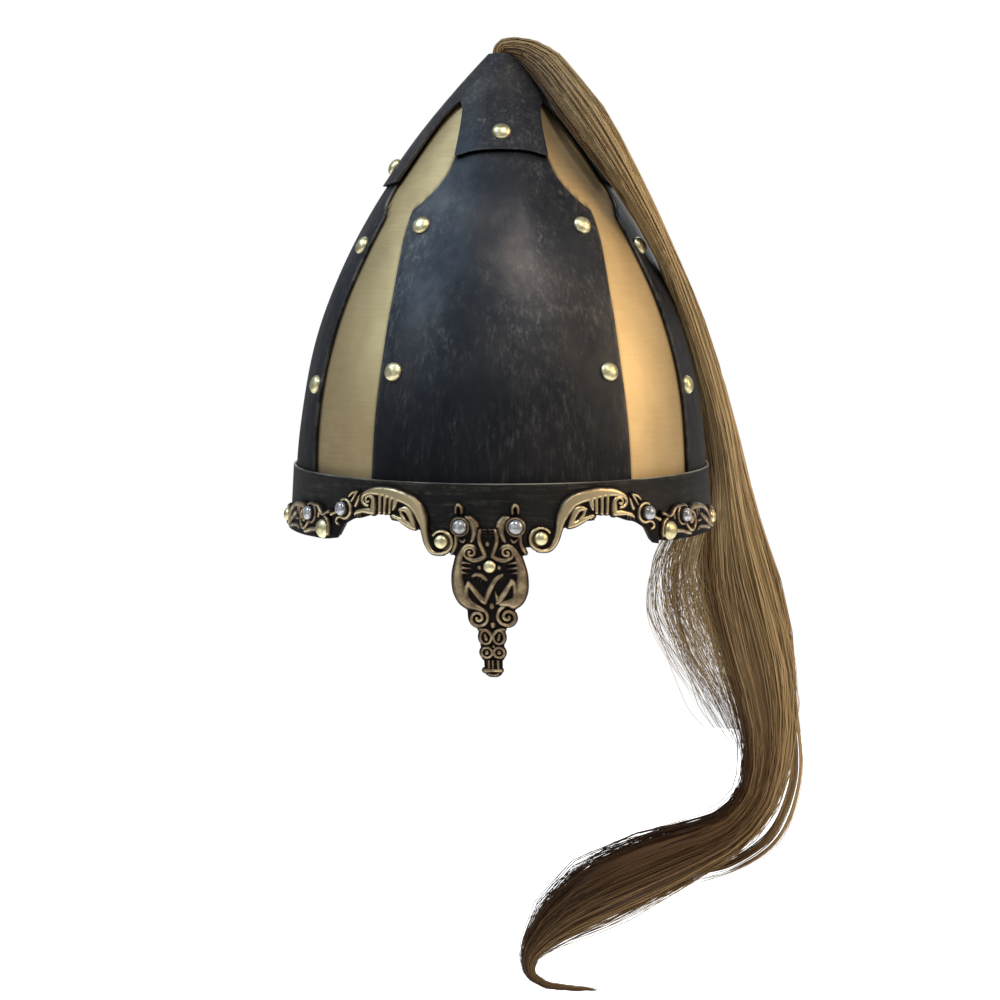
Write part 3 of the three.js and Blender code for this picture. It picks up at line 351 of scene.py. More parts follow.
# Rivets and crystals on the trim, in modules; lift is the height of what they stand on over the casting
NASAL_STUDS = table("node out up radius lift", [
    ("trim_rivet_nasal", 0.02, -0.68, 2.9, 0), ("crystal_nasal_left", -1.23, 1.1, 3.3, 1),
    ("crystal_nasal_right", 1.23, 1.1, 3.3, 1),
])
BROW_STUDS = table("node out up radius lift", [
    ("trim_rivet_tail_", 2.1, 0.4, 3.1, 1), ("crystal_brow_", 7.65, 1.58, 3.3, 1),
])
TEMPLE_STUDS = table("node out up radius lift", [
    ("trim_rivet_side_", 9.15, 0.52, 4.5, 0), ("crystal_side_", 10.55, 1.12, 3.3, 1),
    ("trim_rivet_rear_", 14.2, 0.68, 3.1, 1),
])

# Plume sections in the air over the cap: offsets from the cap's mouth and half-widths, shares of PLUME_WIDTH
PLUME_ARCH = table("out back up wide thick", [
    (0.0, 0.0, -0.12, 0.08, 0.08), (0.02, 0.0, 0.05, 0.1, 0.1), (0.25, -0.05, 0.035, 0.13, 0.13),
    (0.5, -0.2, -0.14, 0.19, 0.16),
])
# Then beside the skull: out and back as shares of the local half-width and half-depth,
# height as a share of SKULL_HEIGHT
PLUME_SIDE = table("out back height wide thick", [
    (1.45, -0.98, 0.909, 0.21, 0.18), (1.185, -0.89, 0.831, 0.23, 0.2), (1.065, -0.62, 0.7, 0.155, 0.2),
    (1.048, -0.35, 0.572, 0.12, 0.2), (1.045, -0.08, 0.465, 0.16, 0.22), (1.08, 0.17, 0.272, 0.19, 0.24),
    (1.14, 0.35, 0.1, 0.235, 0.24),
])
# Then below the rim: out and back as shares of HEAD_HALF_WIDTH, down as a share of PLUME_FALL
PLUME_DROP = table("out back down wide thick", [
    (1.175, 0.5, 0.02, 0.37, 0.27), (1.22, 0.5, 0.15, 0.52, 0.27), (1.3, 0.5, 0.275, 0.53, 0.26),
    (1.37, 0.49, 0.405, 0.44, 0.24), (1.385, 0.48, 0.53, 0.3, 0.22), (1.325, 0.47, 0.632, 0.27, 0.2),
    (1.205, 0.46, 0.692, 0.29, 0.2), (1.025, 0.45, 0.732, 0.35, 0.22), (0.84, 0.43, 0.762, 0.43, 0.24),
    (0.655, 0.41, 0.795, 0.48, 0.26), (0.455, 0.39, 0.835, 0.45, 0.24), (0.3, 0.37, 0.878, 0.35, 0.2),
    (0.197, 0.35, 0.922, 0.21, 0.14), (0.14, 0.34, 0.965, 0.11, 0.08), (0.15, 0.33, 1.0, 0.06, 0.05),
    (0.23, 0.33, 1.024, 0.045, 0.035), (0.36, 0.33, 1.032, 0.035, 0.025), (0.5, 0.33, 1.034, 0.02, 0.015),
])
# Loose tresses that leave the plume and join it again, in the same shares as PLUME_DROP
OUTER_TRESS = table("out back down wide thick", [
    (1.3, 0.5, 0.1, 0.1, 0.12), (1.42, 0.5, 0.3, 0.1, 0.12), (1.525, 0.5, 0.46, 0.07, 0.1),
    (1.53, 0.49, 0.6, 0.07, 0.09), (1.42, 0.48, 0.71, 0.08, 0.09), (1.2, 0.46, 0.775, 0.08, 0.09),
    (0.95, 0.43, 0.8, 0.12, 0.1), (0.7, 0.41, 0.835, 0.14, 0.1),
])
INNER_TRESS = table("out back down wide thick", [
    (1.1, 0.45, -0.06, 0.12, 0.12), (0.98, 0.47, 0.03, 0.22, 0.12), (0.92, 0.5, 0.11, 0.38, 0.12),
    (0.93, 0.5, 0.2, 0.46, 0.12), (1.02, 0.5, 0.3, 0.44, 0.12), (1.14, 0.49, 0.4, 0.34, 0.12),
    (1.25, 0.49, 0.52, 0.16, 0.1), (1.29, 0.48, 0.61, 0.12, 0.08),
])


def column(rows, key):
    return np.array([row[key] for row in rows], float)


def curve(t, first, last, first_slope, last_slope):
    """Runs from first to last as t runs from 0 to 1, with a slope at each end."""
    start = first * (1 + 2 * t) * (1 - t) ** 2 + first_slope * t * (1 - t) ** 2
    return start + last * t**2 * (3 - 2 * t) + last_slope * t**2 * (t - 1)


def bent(xs, ys, x):
    """Smooth curve through a table that never overshoots its rows."""
    xs = np.asarray(xs, float)
    ys = np.asarray(ys, float)
    x = np.clip(x, xs[0], xs[-1])
    gaps = np.diff(xs)
    slopes = np.diff(ys) / gaps
    tangent = np.zeros(len(xs))
    same = slopes[:-1] * slopes[1:] > 0
    mean = 2 * slopes[:-1] * slopes[1:] / np.where(same, slopes[:-1] + slopes[1:], 1)
    tangent[1:-1] = np.where(same, mean, 0)
    tangent[0] = slopes[0]
    tangent[-1] = slopes[-1]
    i = np.clip(np.searchsorted(xs, x, side="right") - 1, 0, len(gaps) - 1)
    t = (x - xs[i]) / gaps[i]
    return curve(t, ys[i], ys[i + 1], tangent[i] * gaps[i], tangent[i + 1] * gaps[i])


def half_width(z):
    climb = np.maximum(0, z - DOME_START) / (SKULL_HEIGHT - DOME_START)
    return HEAD_HALF_WIDTH * (1 - climb**DOME_POWER)


def half_depth(z):
    return half_width(z) * (1 + (OVAL - 1) * (1 - np.maximum(0, z) / SKULL_HEIGHT))


def on_skull(angle, z, out):
    """Points near the skull: degrees from the front towards +X, height, distance out from the iron."""
    turn = np.radians(angle)
    x = (half_width(z) + out) * np.sin(turn)
    y = -(half_depth(z) + out) * np.cos(turn)
    return np.stack(np.broadcast_arrays(x, y, z), -1)


BAND_FACE = BAND_GAP + BAND_WALL
band_width = HEAD_HALF_WIDTH + BAND_FACE
band_depth = HEAD_HALF_WIDTH * OVAL + BAND_FACE


def on_band(angle, z, out):
    turn = np.radians(angle)
    grow = BAND_FLARE * (1 - z / BAND_HEIGHT) + out
    x = (band_width + grow) * np.sin(turn)
    y = -(band_depth + grow) * np.cos(turn)
    return np.stack(np.broadcast_arrays(x, y, z), -1)


arc_angles = np.arange(361)
arc_middles = np.radians(arc_angles[1:] - 0.5)
arc_speeds = np.hypot(band_width * np.cos(arc_middles), band_depth * np.sin(arc_middles))
arc_lengths = np.concatenate([[0], np.cumsum(arc_speeds) * math.radians(1)])
BAND_GIRTH = arc_lengths[-1]


def band_angle(along):
    return np.sign(along) * np.interp(np.abs(along), arc_lengths, arc_angles)


def on_trim(along, z, out):
    """Points on the trim: distance along from the nasal's middle, height, distance out from the band."""
    return on_band(band_angle(np.asarray(along, float) + TRIM_SHIFT), np.asarray(z, float), out)


def unit(vectors):
    return vectors / np.maximum(np.linalg.norm(vectors, axis=-1, keepdims=True), 1e-9)


def axis_of(surface, first, second, step=1.0):
    side = surface(first + step, second, 0) - surface(first - step, second, 0)
    up = surface(first, second + step, 0) - surface(first, second - step, 0)
    return unit(np.cross(side, up))


# Meshes


def make_object(name, points, faces, slot, nodes, edge=None, sharp=35):
    mesh = bpy.data.meshes.new(name)
    mesh.from_pydata((np.asarray(points) * MM).tolist(), [], [list(map(int, face)) for face in faces])
    mesh.shade_smooth()
    mesh.set_sharp_from_angle(angle=math.radians(sharp))
    for label, values in (edge or {}).items():
        attribute = mesh.attributes.new(label, "FLOAT", "POINT")
        attribute.data.foreach_set("value", np.asarray(values, np.float32))
    piece = bpy.data.objects.new(name, mesh)
    bpy.context.scene.collection.objects.link(piece)
    piece.data.materials.append(finishes[slot])
    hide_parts(*nodes)
    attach(piece, "root")
    return piece


def soften(piece, width):
    rim = piece.modifiers.new("rim", "BEVEL")
    rim.width = width * MM
    rim.segments = 2
    rim.limit_method = "ANGLE"
    rim.angle_limit = math.radians(50)


def wall(outer, inner, ring=False):
    """Closed wall between two grids of points, each shaped (columns, rows, 3)."""
    columns, rows = outer.shape[:2]
    ids = np.arange(columns * rows).reshape(columns, rows)
    if ring:
        ids = np.vstack([ids, ids[:1]])
    under = columns * rows

    def quads(a, b, c, d):
        return np.stack([a, b, c, d], -1).reshape(-1, 4)

    a, b, c, d = ids[:-1, :-1], ids[1:, :-1], ids[1:, 1:], ids[:-1, 1:]
    faces = [quads(a, b, c, d), quads(a, d, c, b) + under]
    low, low_next = ids[:-1, 0], ids[1:, 0]
    high, high_next = ids[:-1, -1], ids[1:, -1]
    faces.append(quads(low, low + under, low_next + under, low_next))
    faces.append(quads(high, high_next, high_next + under, high + under))
    if not ring:
        left, left_up = ids[0, :-1], ids[0, 1:]
        right, right_up = ids[-1, :-1], ids[-1, 1:]
        faces.append(quads(left, left_up, left_up + under, left + under))
        faces.append(quads(right, right + under, right_up + under, right_up))
    points = np.concatenate([outer.reshape(-1, 3), inner.reshape(-1, 3)])
    return points, np.concatenate(faces)


def border(columns, rows, ring=False):
    """One on a sheet's rim and nought inside, for both of its faces."""
    mark = np.zeros((columns, rows))
    mark[:, 0] = 1
    mark[:, -1] = 1
    if not ring:
        mark[0] = 1
        mark[-1] = 1
    return np.tile(mark.reshape(-1), 2)


def spaced(low, high, step):
    return np.linspace(low, high, max(2, int(math.ceil((high - low) / step)) + 1))


# Finishes


def fill(tree, made, inputs):
    """Sets or links the inputs of a node."""
    for key, value in inputs.items():
        socket = made.inputs[key]
        if isinstance(value, bpy.types.NodeSocket):
            tree.links.new(value, socket)
        else:
            socket.default_value = value
    return made


def finish(name, inputs_of):
    """A material whose shader takes the inputs that a function of its tree gives."""
    material = bpy.data.materials.new(name)
    material.use_nodes = True
    tree = material.node_tree
    fill(tree, tree.nodes["Principled BSDF"], inputs_of(tree))
    return material


def add_node(tree, kind, inputs=None, **settings):
    made = tree.nodes.new(kind)
    for key, value in settings.items():
        setattr(made, key, value)
    return fill(tree, made, inputs or {})


def place_of(tree, scale=(1, 1, 1)):
    where = add_node(tree, "ShaderNodeTexCoord")
    return add_node(tree, "ShaderNodeMapping", {"Vector": where.outputs["Object"], "Scale": scale}).outputs[0]


def noise(tree, scale, detail=3.0, rough=0.5):
    inputs = {"Vector": place_of(tree, scale), "Scale": 1.0, "Detail": detail, "Roughness": rough}
    return add_node(tree, "ShaderNodeTexNoise", inputs).outputs["Fac"]


def steps(tree, factor, *stops):
    """Colour by a factor, through stops of place and colour."""
    ramp = add_node(tree, "ShaderNodeValToRGB", {"Fac": factor})
    elements = ramp.color_ramp.elements
    while len(elements) < len(stops):
        elements.new(0.5)
    for element, (place, colour) in zip(elements, stops):
        element.position = place
        element.color = (*colour, 1)
    return ramp.outputs["Color"]


def mix(tree, factor, first, second):
    made = add_node(tree, "ShaderNodeMix", data_type="RGBA")
    for key, value in (("Factor", factor), ("A", first), ("B", second)):
        kind = "VALUE" if key == "Factor" else "RGBA"
        socket = [s for s in made.inputs if s.name == key and s.type == kind][0]
        if isinstance(value, bpy.types.NodeSocket):
            tree.links.new(value, socket)
        elif key == "Factor":
            socket.default_value = value
        else:
            socket.default_value = (*value, 1)
    return [s for s in made.outputs if s.type == "RGBA"][0]


def fit_range(tree, value, low, high, to_low, to_high):
    inputs = {"Value": value, "From Min": low, "From Max": high, "To Min": to_low, "To Max": to_high}
    return add_node(tree, "ShaderNodeMapRange", inputs).outputs[0]


def bump(tree, height, strength, distance, over=None):
    """Normal of a surface roughened by a height, over another roughness if there is one."""
    inputs = {"Height": height, "Strength": strength, "Distance": distance}
    if over is not None:
        inputs["Normal"] = over
    return add_node(tree, "ShaderNodeBump", inputs).outputs["Normal"]


def painted(tree, name):
    """A number that the mesh carries at its points."""
    return add_node(tree, "ShaderNodeAttribute", attribute_name=name).outputs["Fac"]


def product(tree, first, second, operation="MULTIPLY"):
    """Two numbers put together, multiplied if nothing else is said."""
    return add_node(tree, "ShaderNodeMath", {0: first, 1: second}, operation=operation).outputs[0]


def iron(tree):
    patina = noise(tree, (16, 16, 11), 5, 0.6)
    base = steps(tree, patina, (0.32, (0.008, 0.009, 0.013)), (0.5, (0.024, 0.025, 0.030)),
                 (0.7, (0.062, 0.054, 0.052)))
    streaks = noise(tree, (700, 700, 26), 4, 0.65)
    flecks = noise(tree, (260, 260, 120), 4, 0.7)
    patches = noise(tree, (26, 26, 16), 3, 0.6)
    worn = product(tree, fit_range(tree, streaks, 0.42, 0.8, 0, 1), fit_range(tree, flecks, 0.42, 0.7, 0, 1))
    marks = product(tree, worn, fit_range(tree, patches, 0.38, 0.64, 0, 0.85))
    scuffed = mix(tree, marks, base, (0.23, 0.215, 0.2))
    # Lighter along the marked rims of the plates and cap: partly wear, partly a painted highlight where the
    # edges catch the light
    rim_noise = noise(tree, (120, 120, 120), 3, 0.6)
    rim = product(tree, painted(tree, "edge"), fit_range(tree, rim_noise, 0.4, 0.66, 0, 0.55))
    worn_and_highlit_rims = mix(tree, rim, scuffed, (0.22, 0.19, 0.16))
    place = add_node(tree, "ShaderNodeSeparateXYZ", {0: place_of(tree)})
    # Painted shade, darker towards the bottom: the colour goes towards near black from 130 mm over the rim
    # down to 10 mm
    low_painted_shade = fit_range(tree, place.outputs["Z"], 0.01, 0.13, 0.86, 0)
    shaded_low = mix(tree, low_painted_shade, worn_and_highlit_rims, (0.004, 0.004, 0.005))
    dull = fit_range(tree, patina, 0.3, 0.7, 0.56, 0.44)
    dents = bump(tree, noise(tree, (45, 45, 30), 2, 0.5), 0.35, 0.004)
    return {
        # The 'shade' number paints a near black shadow under the cap's edge
        "Base Color": mix(tree, painted(tree, "shade"), shaded_low, (0.001, 0.001, 0.001)),
        "Metallic": 0.6,
        "Specular IOR Level": 0.2,
        "Roughness": product(tree, dull, fit_range(tree, streaks, 0.3, 0.7, 0.92, 1.08)),
        "Normal": bump(tree, streaks, 0.3, 0.0003, dents),
    }


def band_iron(tree):
    cloud = noise(tree, (14, 14, 30), 4, 0.55)
    base = steps(tree, cloud, (0.35, (0.006, 0.0055, 0.006)), (0.68, (0.024, 0.021, 0.018)))
    lines = noise(tree, (24, 24, 700), 4, 0.65)
    flecks = noise(tree, (160, 160, 300), 4, 0.7)
    lined = fit_range(tree, lines, 0.46, 0.75, 0, 0.9)
    marks = product(tree, lined, fit_range(tree, flecks, 0.45, 0.7, 0, 0.8))
    brushed = mix(tree, marks, base, (0.13, 0.115, 0.08))
    # The band's top rim is lighter: partly wear, partly a painted highlight along its top edge
    edge = fit_range(tree, painted(tree, "edge"), 0.3, 1, 0, 1)
    wear_and_highlight = noise(tree, (30, 30, 30), 3, 0.6)
    rim = product(tree, edge, fit_range(tree, wear_and_highlight, 0.38, 0.6, 0.2, 0.9))
    return {
        "Base Color": mix(tree, rim, brushed, (0.36, 0.34, 0.29)),
        "Metallic": 0.5,
        "Specular IOR Level": 0.22,
        "Roughness": fit_range(tree, cloud, 0.3, 0.7, 0.5, 0.42),
        "Normal": bump(tree, lines, 0.15, 0.0002),
    }


def brass(tree):
    cloud = noise(tree, (13, 13, 8), 4, 0.6)
    base = steps(tree, cloud, (0.3, (0.36, 0.255, 0.135)), (0.52, (0.50, 0.365, 0.19)),
                 (0.72, (0.60, 0.45, 0.235)))
    grain = noise(tree, (60, 60, 900), 4, 0.6)
    specks = noise(tree, (420, 420, 420), 2, 0.6)
    lined = mix(tree, fit_range(tree, grain, 0.35, 0.7, 0, 0.2), base, (0.66, 0.53, 0.33))
    spotted = mix(tree, fit_range(tree, specks, 0.72, 0.78, 0, 0.45), lined, (0.12, 0.08, 0.04))
    dents = bump(tree, noise(tree, (35, 35, 25), 2, 0.5), 0.3, 0.003)
    return {
        # On the gores the 'edge' number is the painted shade beside the iron plates, darkening the brass to
        # dark brown
        "Base Color": mix(tree, painted(tree, "edge"), spotted, (0.05, 0.035, 0.02)),
        "Metallic": 1.0,
        "Roughness": fit_range(tree, cloud, 0.3, 0.7, 0.62, 0.54),
        "Normal": bump(tree, grain, 0.12, 0.0002, dents),
    }


def bronze(tree):
    mottle = noise(tree, (170, 170, 170), 4, 0.6)
    spread = fit_range(tree, mottle, 0.3, 0.7, -0.16, 0.14)
    # The 'lift' number, relief height times the casting's painted light share, runs the colour from near
    # black on the low ground to bright on the highest crests: partly the bronze's own dark hollows and worn
    # crests, partly a painted highlight on the crests and painted shade on the low ground
    total = product(tree, painted(tree, "lift"), spread, "ADD")
    base = steps(tree, total, (0.25, (0.008, 0.006, 0.005)), (0.6, (0.07, 0.044, 0.028)),
                 (0.86, (0.21, 0.148, 0.088)), (1.0, (0.52, 0.41, 0.235)))
    return {
        "Base Color": base,
        "Metallic": 0.85,
        "Roughness": fit_range(tree, total, 0.3, 1, 0.6, 0.36),
        "Normal": bump(tree, mottle, 0.25, 0.0004),
    }


def rivet_brass(tree):
    cloud = noise(tree, (260, 260, 260), 3, 0.6)
    base = steps(tree, cloud, (0.3, (0.46, 0.39, 0.21)), (0.7, (0.80, 0.73, 0.46)))
    dents = bump(tree, noise(tree, (500, 500, 500), 2, 0.5), 0.3, 0.0006)
    return {"Base Color": base, "Metallic": 1.0, "Roughness": 0.42, "Normal": dents}


def crystal(tree):
    cloud = noise(tree, (420, 420, 420), 3, 0.65)
    base = steps(tree, cloud, (0.35, (0.16, 0.155, 0.16)), (0.55, (0.36, 0.355, 0.36)),
                 (0.7, (0.62, 0.61, 0.6)))
    return {"Base Color": base, "Metallic": 0.35, "Roughness": 0.22, "Coat Weight": 0.6}


def horsehair(tree):
    base = steps(tree, painted(tree, "tone"), (0.0, (0.034, 0.013, 0.004)), (0.3, (0.108, 0.054, 0.019)),
                 (0.6, (0.25, 0.153, 0.067)), (1.0, (0.46, 0.325, 0.16)))
    return {"Base Color": base, "Roughness": 0.5, "Specular IOR Level": 0.22}


def bright_floor(tree):
    return {
        "Base Color": (0.95, 0.95, 0.95, 1),
        "Roughness": 0.9,
        "Emission Color": (1, 1, 1, 1),
        "Emission Strength": 0.75,
    }


slots = (iron, brass, bronze, rivet_brass, crystal, horsehair)
finishes = {made.__name__: finish(made.__name__, made) for made in slots}


# Skull plates


def dent(angle, z):
    """Slow unevenness of the hammered skull, shared by all of its layers."""
    turn = np.radians(angle)
    slow = 0.22 * np.sin(3 * turn + z / 21)
    return slow + 0.14 * np.sin(7 * turn - z / 13 + 1) + 0.1 * np.sin(11 * turn + z / 9 + 2)


def cap_foot(angle):
    """Height of the cap's lower edge at an angle from the front."""
    quarter = np.round(angle / 90)
    apart = np.abs(angle - 90 * quarter)
    end = bent(column(END_LOBE, "angle"), column(END_LOBE, "height"), apart)
    side = bent(column(SIDE_LOBE, "angle"), column(SIDE_LOBE, "height"), apart)
    return np.where(quarter % 2 == 0, end, side) * SKULL_HEIGHT


def skull_sheet(name, middle, half, heights, face, thickness, slot, nodes, step=ANGLE_STEP, shade=None):
    """A plate of the skull: half gives its half-width in degrees at each height."""
    count = int(2 * half.max() / step) + 1
    share = np.linspace(-1, 1, count)[:, None]
    angle = middle + share * half[None, :]
    z = np.broadcast_to(heights[None, :], angle.shape)
    bend = dent(angle, z)
    points, faces = wall(on_skull(angle, z, face + bend), on_skull(angle, z, face - thickness + bend))
    # For the plates the 'edge' number marks their rims; for the brass gores, which pass a shade function, it
    # carries the painted shade beside the iron plates
    mark = border(*angle.shape) if shade is None else np.tile(shade(angle, z).reshape(-1), 2)
    # A painted shadow under the cap's lower edge, darkest at the edge and fading over CAP_SHADE below it; it
    # goes in the 'shade' number
    painted_cap_shadow = np.clip(1.2 - (cap_foot(angle) - z) / CAP_SHADE, 0, 1)
    marks = {"edge": mark, "shade": np.tile(painted_cap_shadow.reshape(-1), 2)}
    soften(make_object(name, points, faces, slot, nodes, marks), SHEET_BEVEL)


plate_marks = column(PLATE_OUTLINE, "height") * SKULL_HEIGHT
plate_heights = np.concatenate([spaced(plate_marks[0], plate_marks[-1], SHEET_STEP), plate_marks])
plate_heights = np.unique(np.round(plate_heights, 3))
for node, middle, key in (("front_plate", 0, "end"), ("right_plate", 90, "side"),
                          ("back_plate", 180, "end"), ("left_plate", 270, "side")):
    half = bent(plate_marks, column(PLATE_OUTLINE, key), plate_heights)
    skull_sheet(f"{node}_skin", middle, half, plate_heights, 0, IRON_WALL, "iron", [node])

gore_heights = spaced(PLATE_OUTLINE[0]["height"] * SKULL_HEIGHT, GORE_TOP * SKULL_HEIGHT, 2 * SHEET_STEP)


def beside_plates(angle, z):
    """How dark the shade beside the iron plates is, by the distance to their edges."""
    end = bent(plate_marks, column(PLATE_OUTLINE, "end"), z)
    side = bent(plate_marks, column(PLATE_OUTLINE, "side"), z)
    away = np.minimum(np.abs(angle % 180 - end), np.abs(180 - angle % 180 - end))
    away = np.minimum(away, np.abs(np.abs(angle % 180 - 90) - side))
    gap = np.radians(away) * half_width(z)
    return 0.9 * np.clip(1.15 - gap / SHADE_REACH, 0, 1)


for n in range(4):
    node = f"brass_gore_{n + 1}"
    reach = np.full(len(gore_heights), float(GORE_REACH))
    skull_sheet(f"{node}_skin", 45 + 90 * n, reach, gore_heights, GORE_FACE, BRASS_WALL, "brass", [node],
                GORE_ANGLE_STEP, beside_plates)


def lobe_marks():
    marks = [np.arange(0, 360, ANGLE_STEP)]
    for quarter in range(4):
        lobe = END_LOBE if quarter % 2 == 0 else SIDE_LOBE
        near = np.arange(26, 34, 0.4)
        marks += [90 * quarter + sign * np.concatenate([column(lobe, "angle"), near]) for sign in (-1, 1)]
    return np.unique(np.round(np.concatenate(marks) % 360, 2))


CAP_ROWS = 25
cap_angles = lobe_marks()
cap_share = np.linspace(0, 1, CAP_ROWS)[None, :] ** 1.2
foot = cap_foot(cap_angles)[:, None]
cap_z = foot + (CAP_TOP - foot) * cap_share
cap_turn = np.broadcast_to(cap_angles[:, None], cap_z.shape)
cap_bend = dent(cap_turn, cap_z) * np.clip((CAP_TOP - cap_z) / 40, 0, 1)
cap_outside = on_skull(cap_turn, cap_z, CAP_FACE + cap_bend)
points, faces = wall(cap_outside, on_skull(cap_turn, cap_z, CAP_GAP + cap_bend), True)
# The cap's rims are marked more weakly, for a fainter lighter rim of wear and painted highlight
cap_marks = {"edge": 0.3 * border(*cap_z.shape, True)}
soften(make_object("apex_cap_skin", points, faces, "iron", ["apex_cap"], cap_marks), THICK_BEVEL)


# Rivets and crystals


def frame_at(point, axis):
    """Matrix that stands +Z along an axis at a point, in metres."""
    turn = Vector((0, 0, 1)).rotation_difference(Vector(axis)).to_matrix().to_4x4()
    return Matrix.Translation(Vector(point) * MM) @ turn


def hammered_dome(radius, rise, rings=9, sides=28, flats=5):
    """A domed head with a few hammered flats, standing on its seat, with a short skirt under its edge."""
    turns = np.linspace(0, 2 * np.pi, sides, endpoint=False)
    lift = np.linspace(0, np.pi / 2, rings)
    r = radius * np.cos(lift)[:, None]
    z = np.broadcast_to(SEAT_GAP + (rise - SEAT_GAP) * np.sin(lift)[:, None], (rings, sides))
    points = np.stack([r * np.cos(turns), r * np.sin(turns), z], -1)
    for _ in range(flats):
        tilt = rng.uniform(0.15, 0.75)
        side = rng.uniform(0, 2 * np.pi)
        facing = np.array([math.sin(tilt) * math.cos(side), math.sin(tilt) * math.sin(side), math.cos(tilt)])
        depth = points @ facing
        limit = depth.max() * rng.uniform(0.93, 0.97)
        points = points - np.maximum(0, depth - limit)[..., None] * facing * 0.8
    foot = points[0] * [1, 1, 0]
    rows = np.concatenate([foot[None], points[:-1]])
    ids = np.arange(rings * sides).reshape(rings, sides)
    ahead = np.roll(ids, -1, axis=1)
    faces = np.stack([ids[:-1], ahead[:-1], ahead[1:], ids[1:]], -1).reshape(-1, 4).tolist()
    crown = rings * sides
    faces += [(a, b, crown) for a, b in zip(ids[-1], ahead[-1])]
    faces.append(ids[0][::-1])
    return np.concatenate([rows.reshape(-1, 3), points[-1:, 0]]), faces


def add_rivet(node, radius, rise, point, axis):
    points, faces = hammered_dome(radius, rise)
    piece = make_object(f"{node}_head", points, faces, "rivet_brass", [node], sharp=60)
    piece.data.transform(frame_at(point, axis))


def add_crystal(node, radius, point, axis):
    points, faces = hammered_dome(radius, CRYSTAL_RISE, rings=7, sides=20, flats=9)
    piece = make_object(f"{node}_stone", points, faces, "crystal", [node], sharp=25)
    piece.data.transform(frame_at(point, axis))


plate_seats = []
for front in (0, 180):
    for side in (-1, 1):
        for row in PLATE_RIVETS:
            angle = side * row["angle"] if front == 0 else 180 - side * row["angle"]
            plate_seats.append((angle, row["height"] * SKULL_HEIGHT))
for n, (angle, z) in enumerate(plate_seats):
    seat = on_skull(angle, z, dent(angle, z))
    add_rivet(f"plate_rivet_{n + 1}", RIVET_RADIUS, RIVET_RISE, seat, axis_of(on_skull, angle, z))
for n, row in enumerate(CAP_RIVETS):
    angle, z = row["angle"], row["height"] * SKULL_HEIGHT
    seat = on_skull(angle, z, CAP_FACE + dent(angle, z))
    add_rivet(f"cap_rivet_{n + 1}", RIVET_RADIUS, RIVET_RISE, seat, axis_of(on_skull, angle, z))


# Cast trim

RELIEF = 1.5
CAST_GRID = 0.33
CAST_BORDER = 0.4
STROKE_SHOULDER = 1.9
STROKE_GROW = 1.22
THIN_STROKE = 0.4
PATH_FINENESS = 6


def smooth_path(rows):
    """A stroke's rows in millimetres, with rounded steps between them."""
    rows = np.array(rows, float) * MODULE
    if len(rows) < 3:
        return rows
    tangents = np.gradient(rows, axis=0)
    t = np.linspace(0, 1, PATH_FINENESS, endpoint=False)[:, None]
    pieces = []
    for i in range(len(rows) - 1):
        pieces.append(curve(t, rows[i], rows[i + 1], tangents[i], tangents[i + 1]))
    return np.concatenate([*pieces, rows[-1:]])


def coil_path(row):
    count = max(8, int(abs(row["turn"]) / 15))
    share = np.linspace(0, 1, count)
    turn = np.radians(row["start"] + row["turn"] * share)
    radius = row["radius"] + (row["end"] - row["radius"]) * share
    x = row["out"] + radius * np.cos(turn)
    z = row["up"] + radius * np.sin(turn) * row.get("tall", 1)
    return np.stack([x, z, np.full(count, row["half"])], -1) * MODULE


def relief_paths(strokes, coils, side=0):
    """Paths of a casting's relief with their rise; side 0 keeps them as they are."""
    found = []
    for row in [*strokes, *coils]:
        path = smooth_path(row["path"]) if "path" in row else coil_path(row)
        path[:, 2] = np.where(path[:, 2] > THIN_STROKE, path[:, 2] * STROKE_GROW + 0.08, path[:, 2])
        hands = (1,) if side == 0 else ((row["side"],) if row.get("side") else (-1, 1))
        for hand in hands:
            found.append((path * [hand, 1, 1], row.get("rise", 1.0)))
    return found


def relief_at(x, z, paths):
    """How far points lie inside the nearest stroke, and the relief's height there as a share."""
    inside = np.full(x.shape, -50.0)
    rise = np.zeros(x.shape)
    for path, share in paths:
        best = np.full(x.shape, -50.0)
        width = np.ones(x.shape)
        for (x0, z0, w0), (x1, z1, w1) in zip(path[:-1], path[1:]):
            reach = max(w0, w1) + 2
            near = (x > min(x0, x1) - reach) & (x < max(x0, x1) + reach)
            near &= (z > min(z0, z1) - reach) & (z < max(z0, z1) + reach)
            if not near.any():
                continue
            dx, dz = x1 - x0, z1 - z0
            length = max(dx * dx + dz * dz, 1e-9)
            t = np.clip(((x[near] - x0) * dx + (z[near] - z0) * dz) / length, 0, 1)
            half = w0 + (w1 - w0) * t
            depth = half - np.hypot(x[near] - x0 - dx * t, z[near] - z0 - dz * t)
            better = depth > best[near]
            best[near] = np.where(better, depth, best[near])
            width[near] = np.where(better, half, width[near])
        climb = np.clip(best / np.minimum(width, STROKE_SHOULDER), 0, 1)
        full = share * np.clip(width / 0.75, 0, 1) ** 0.5
        rise = np.maximum(rise, full * np.sqrt(1 - (1 - climb) ** 2))
        inside = np.maximum(inside, best)
    return inside, rise


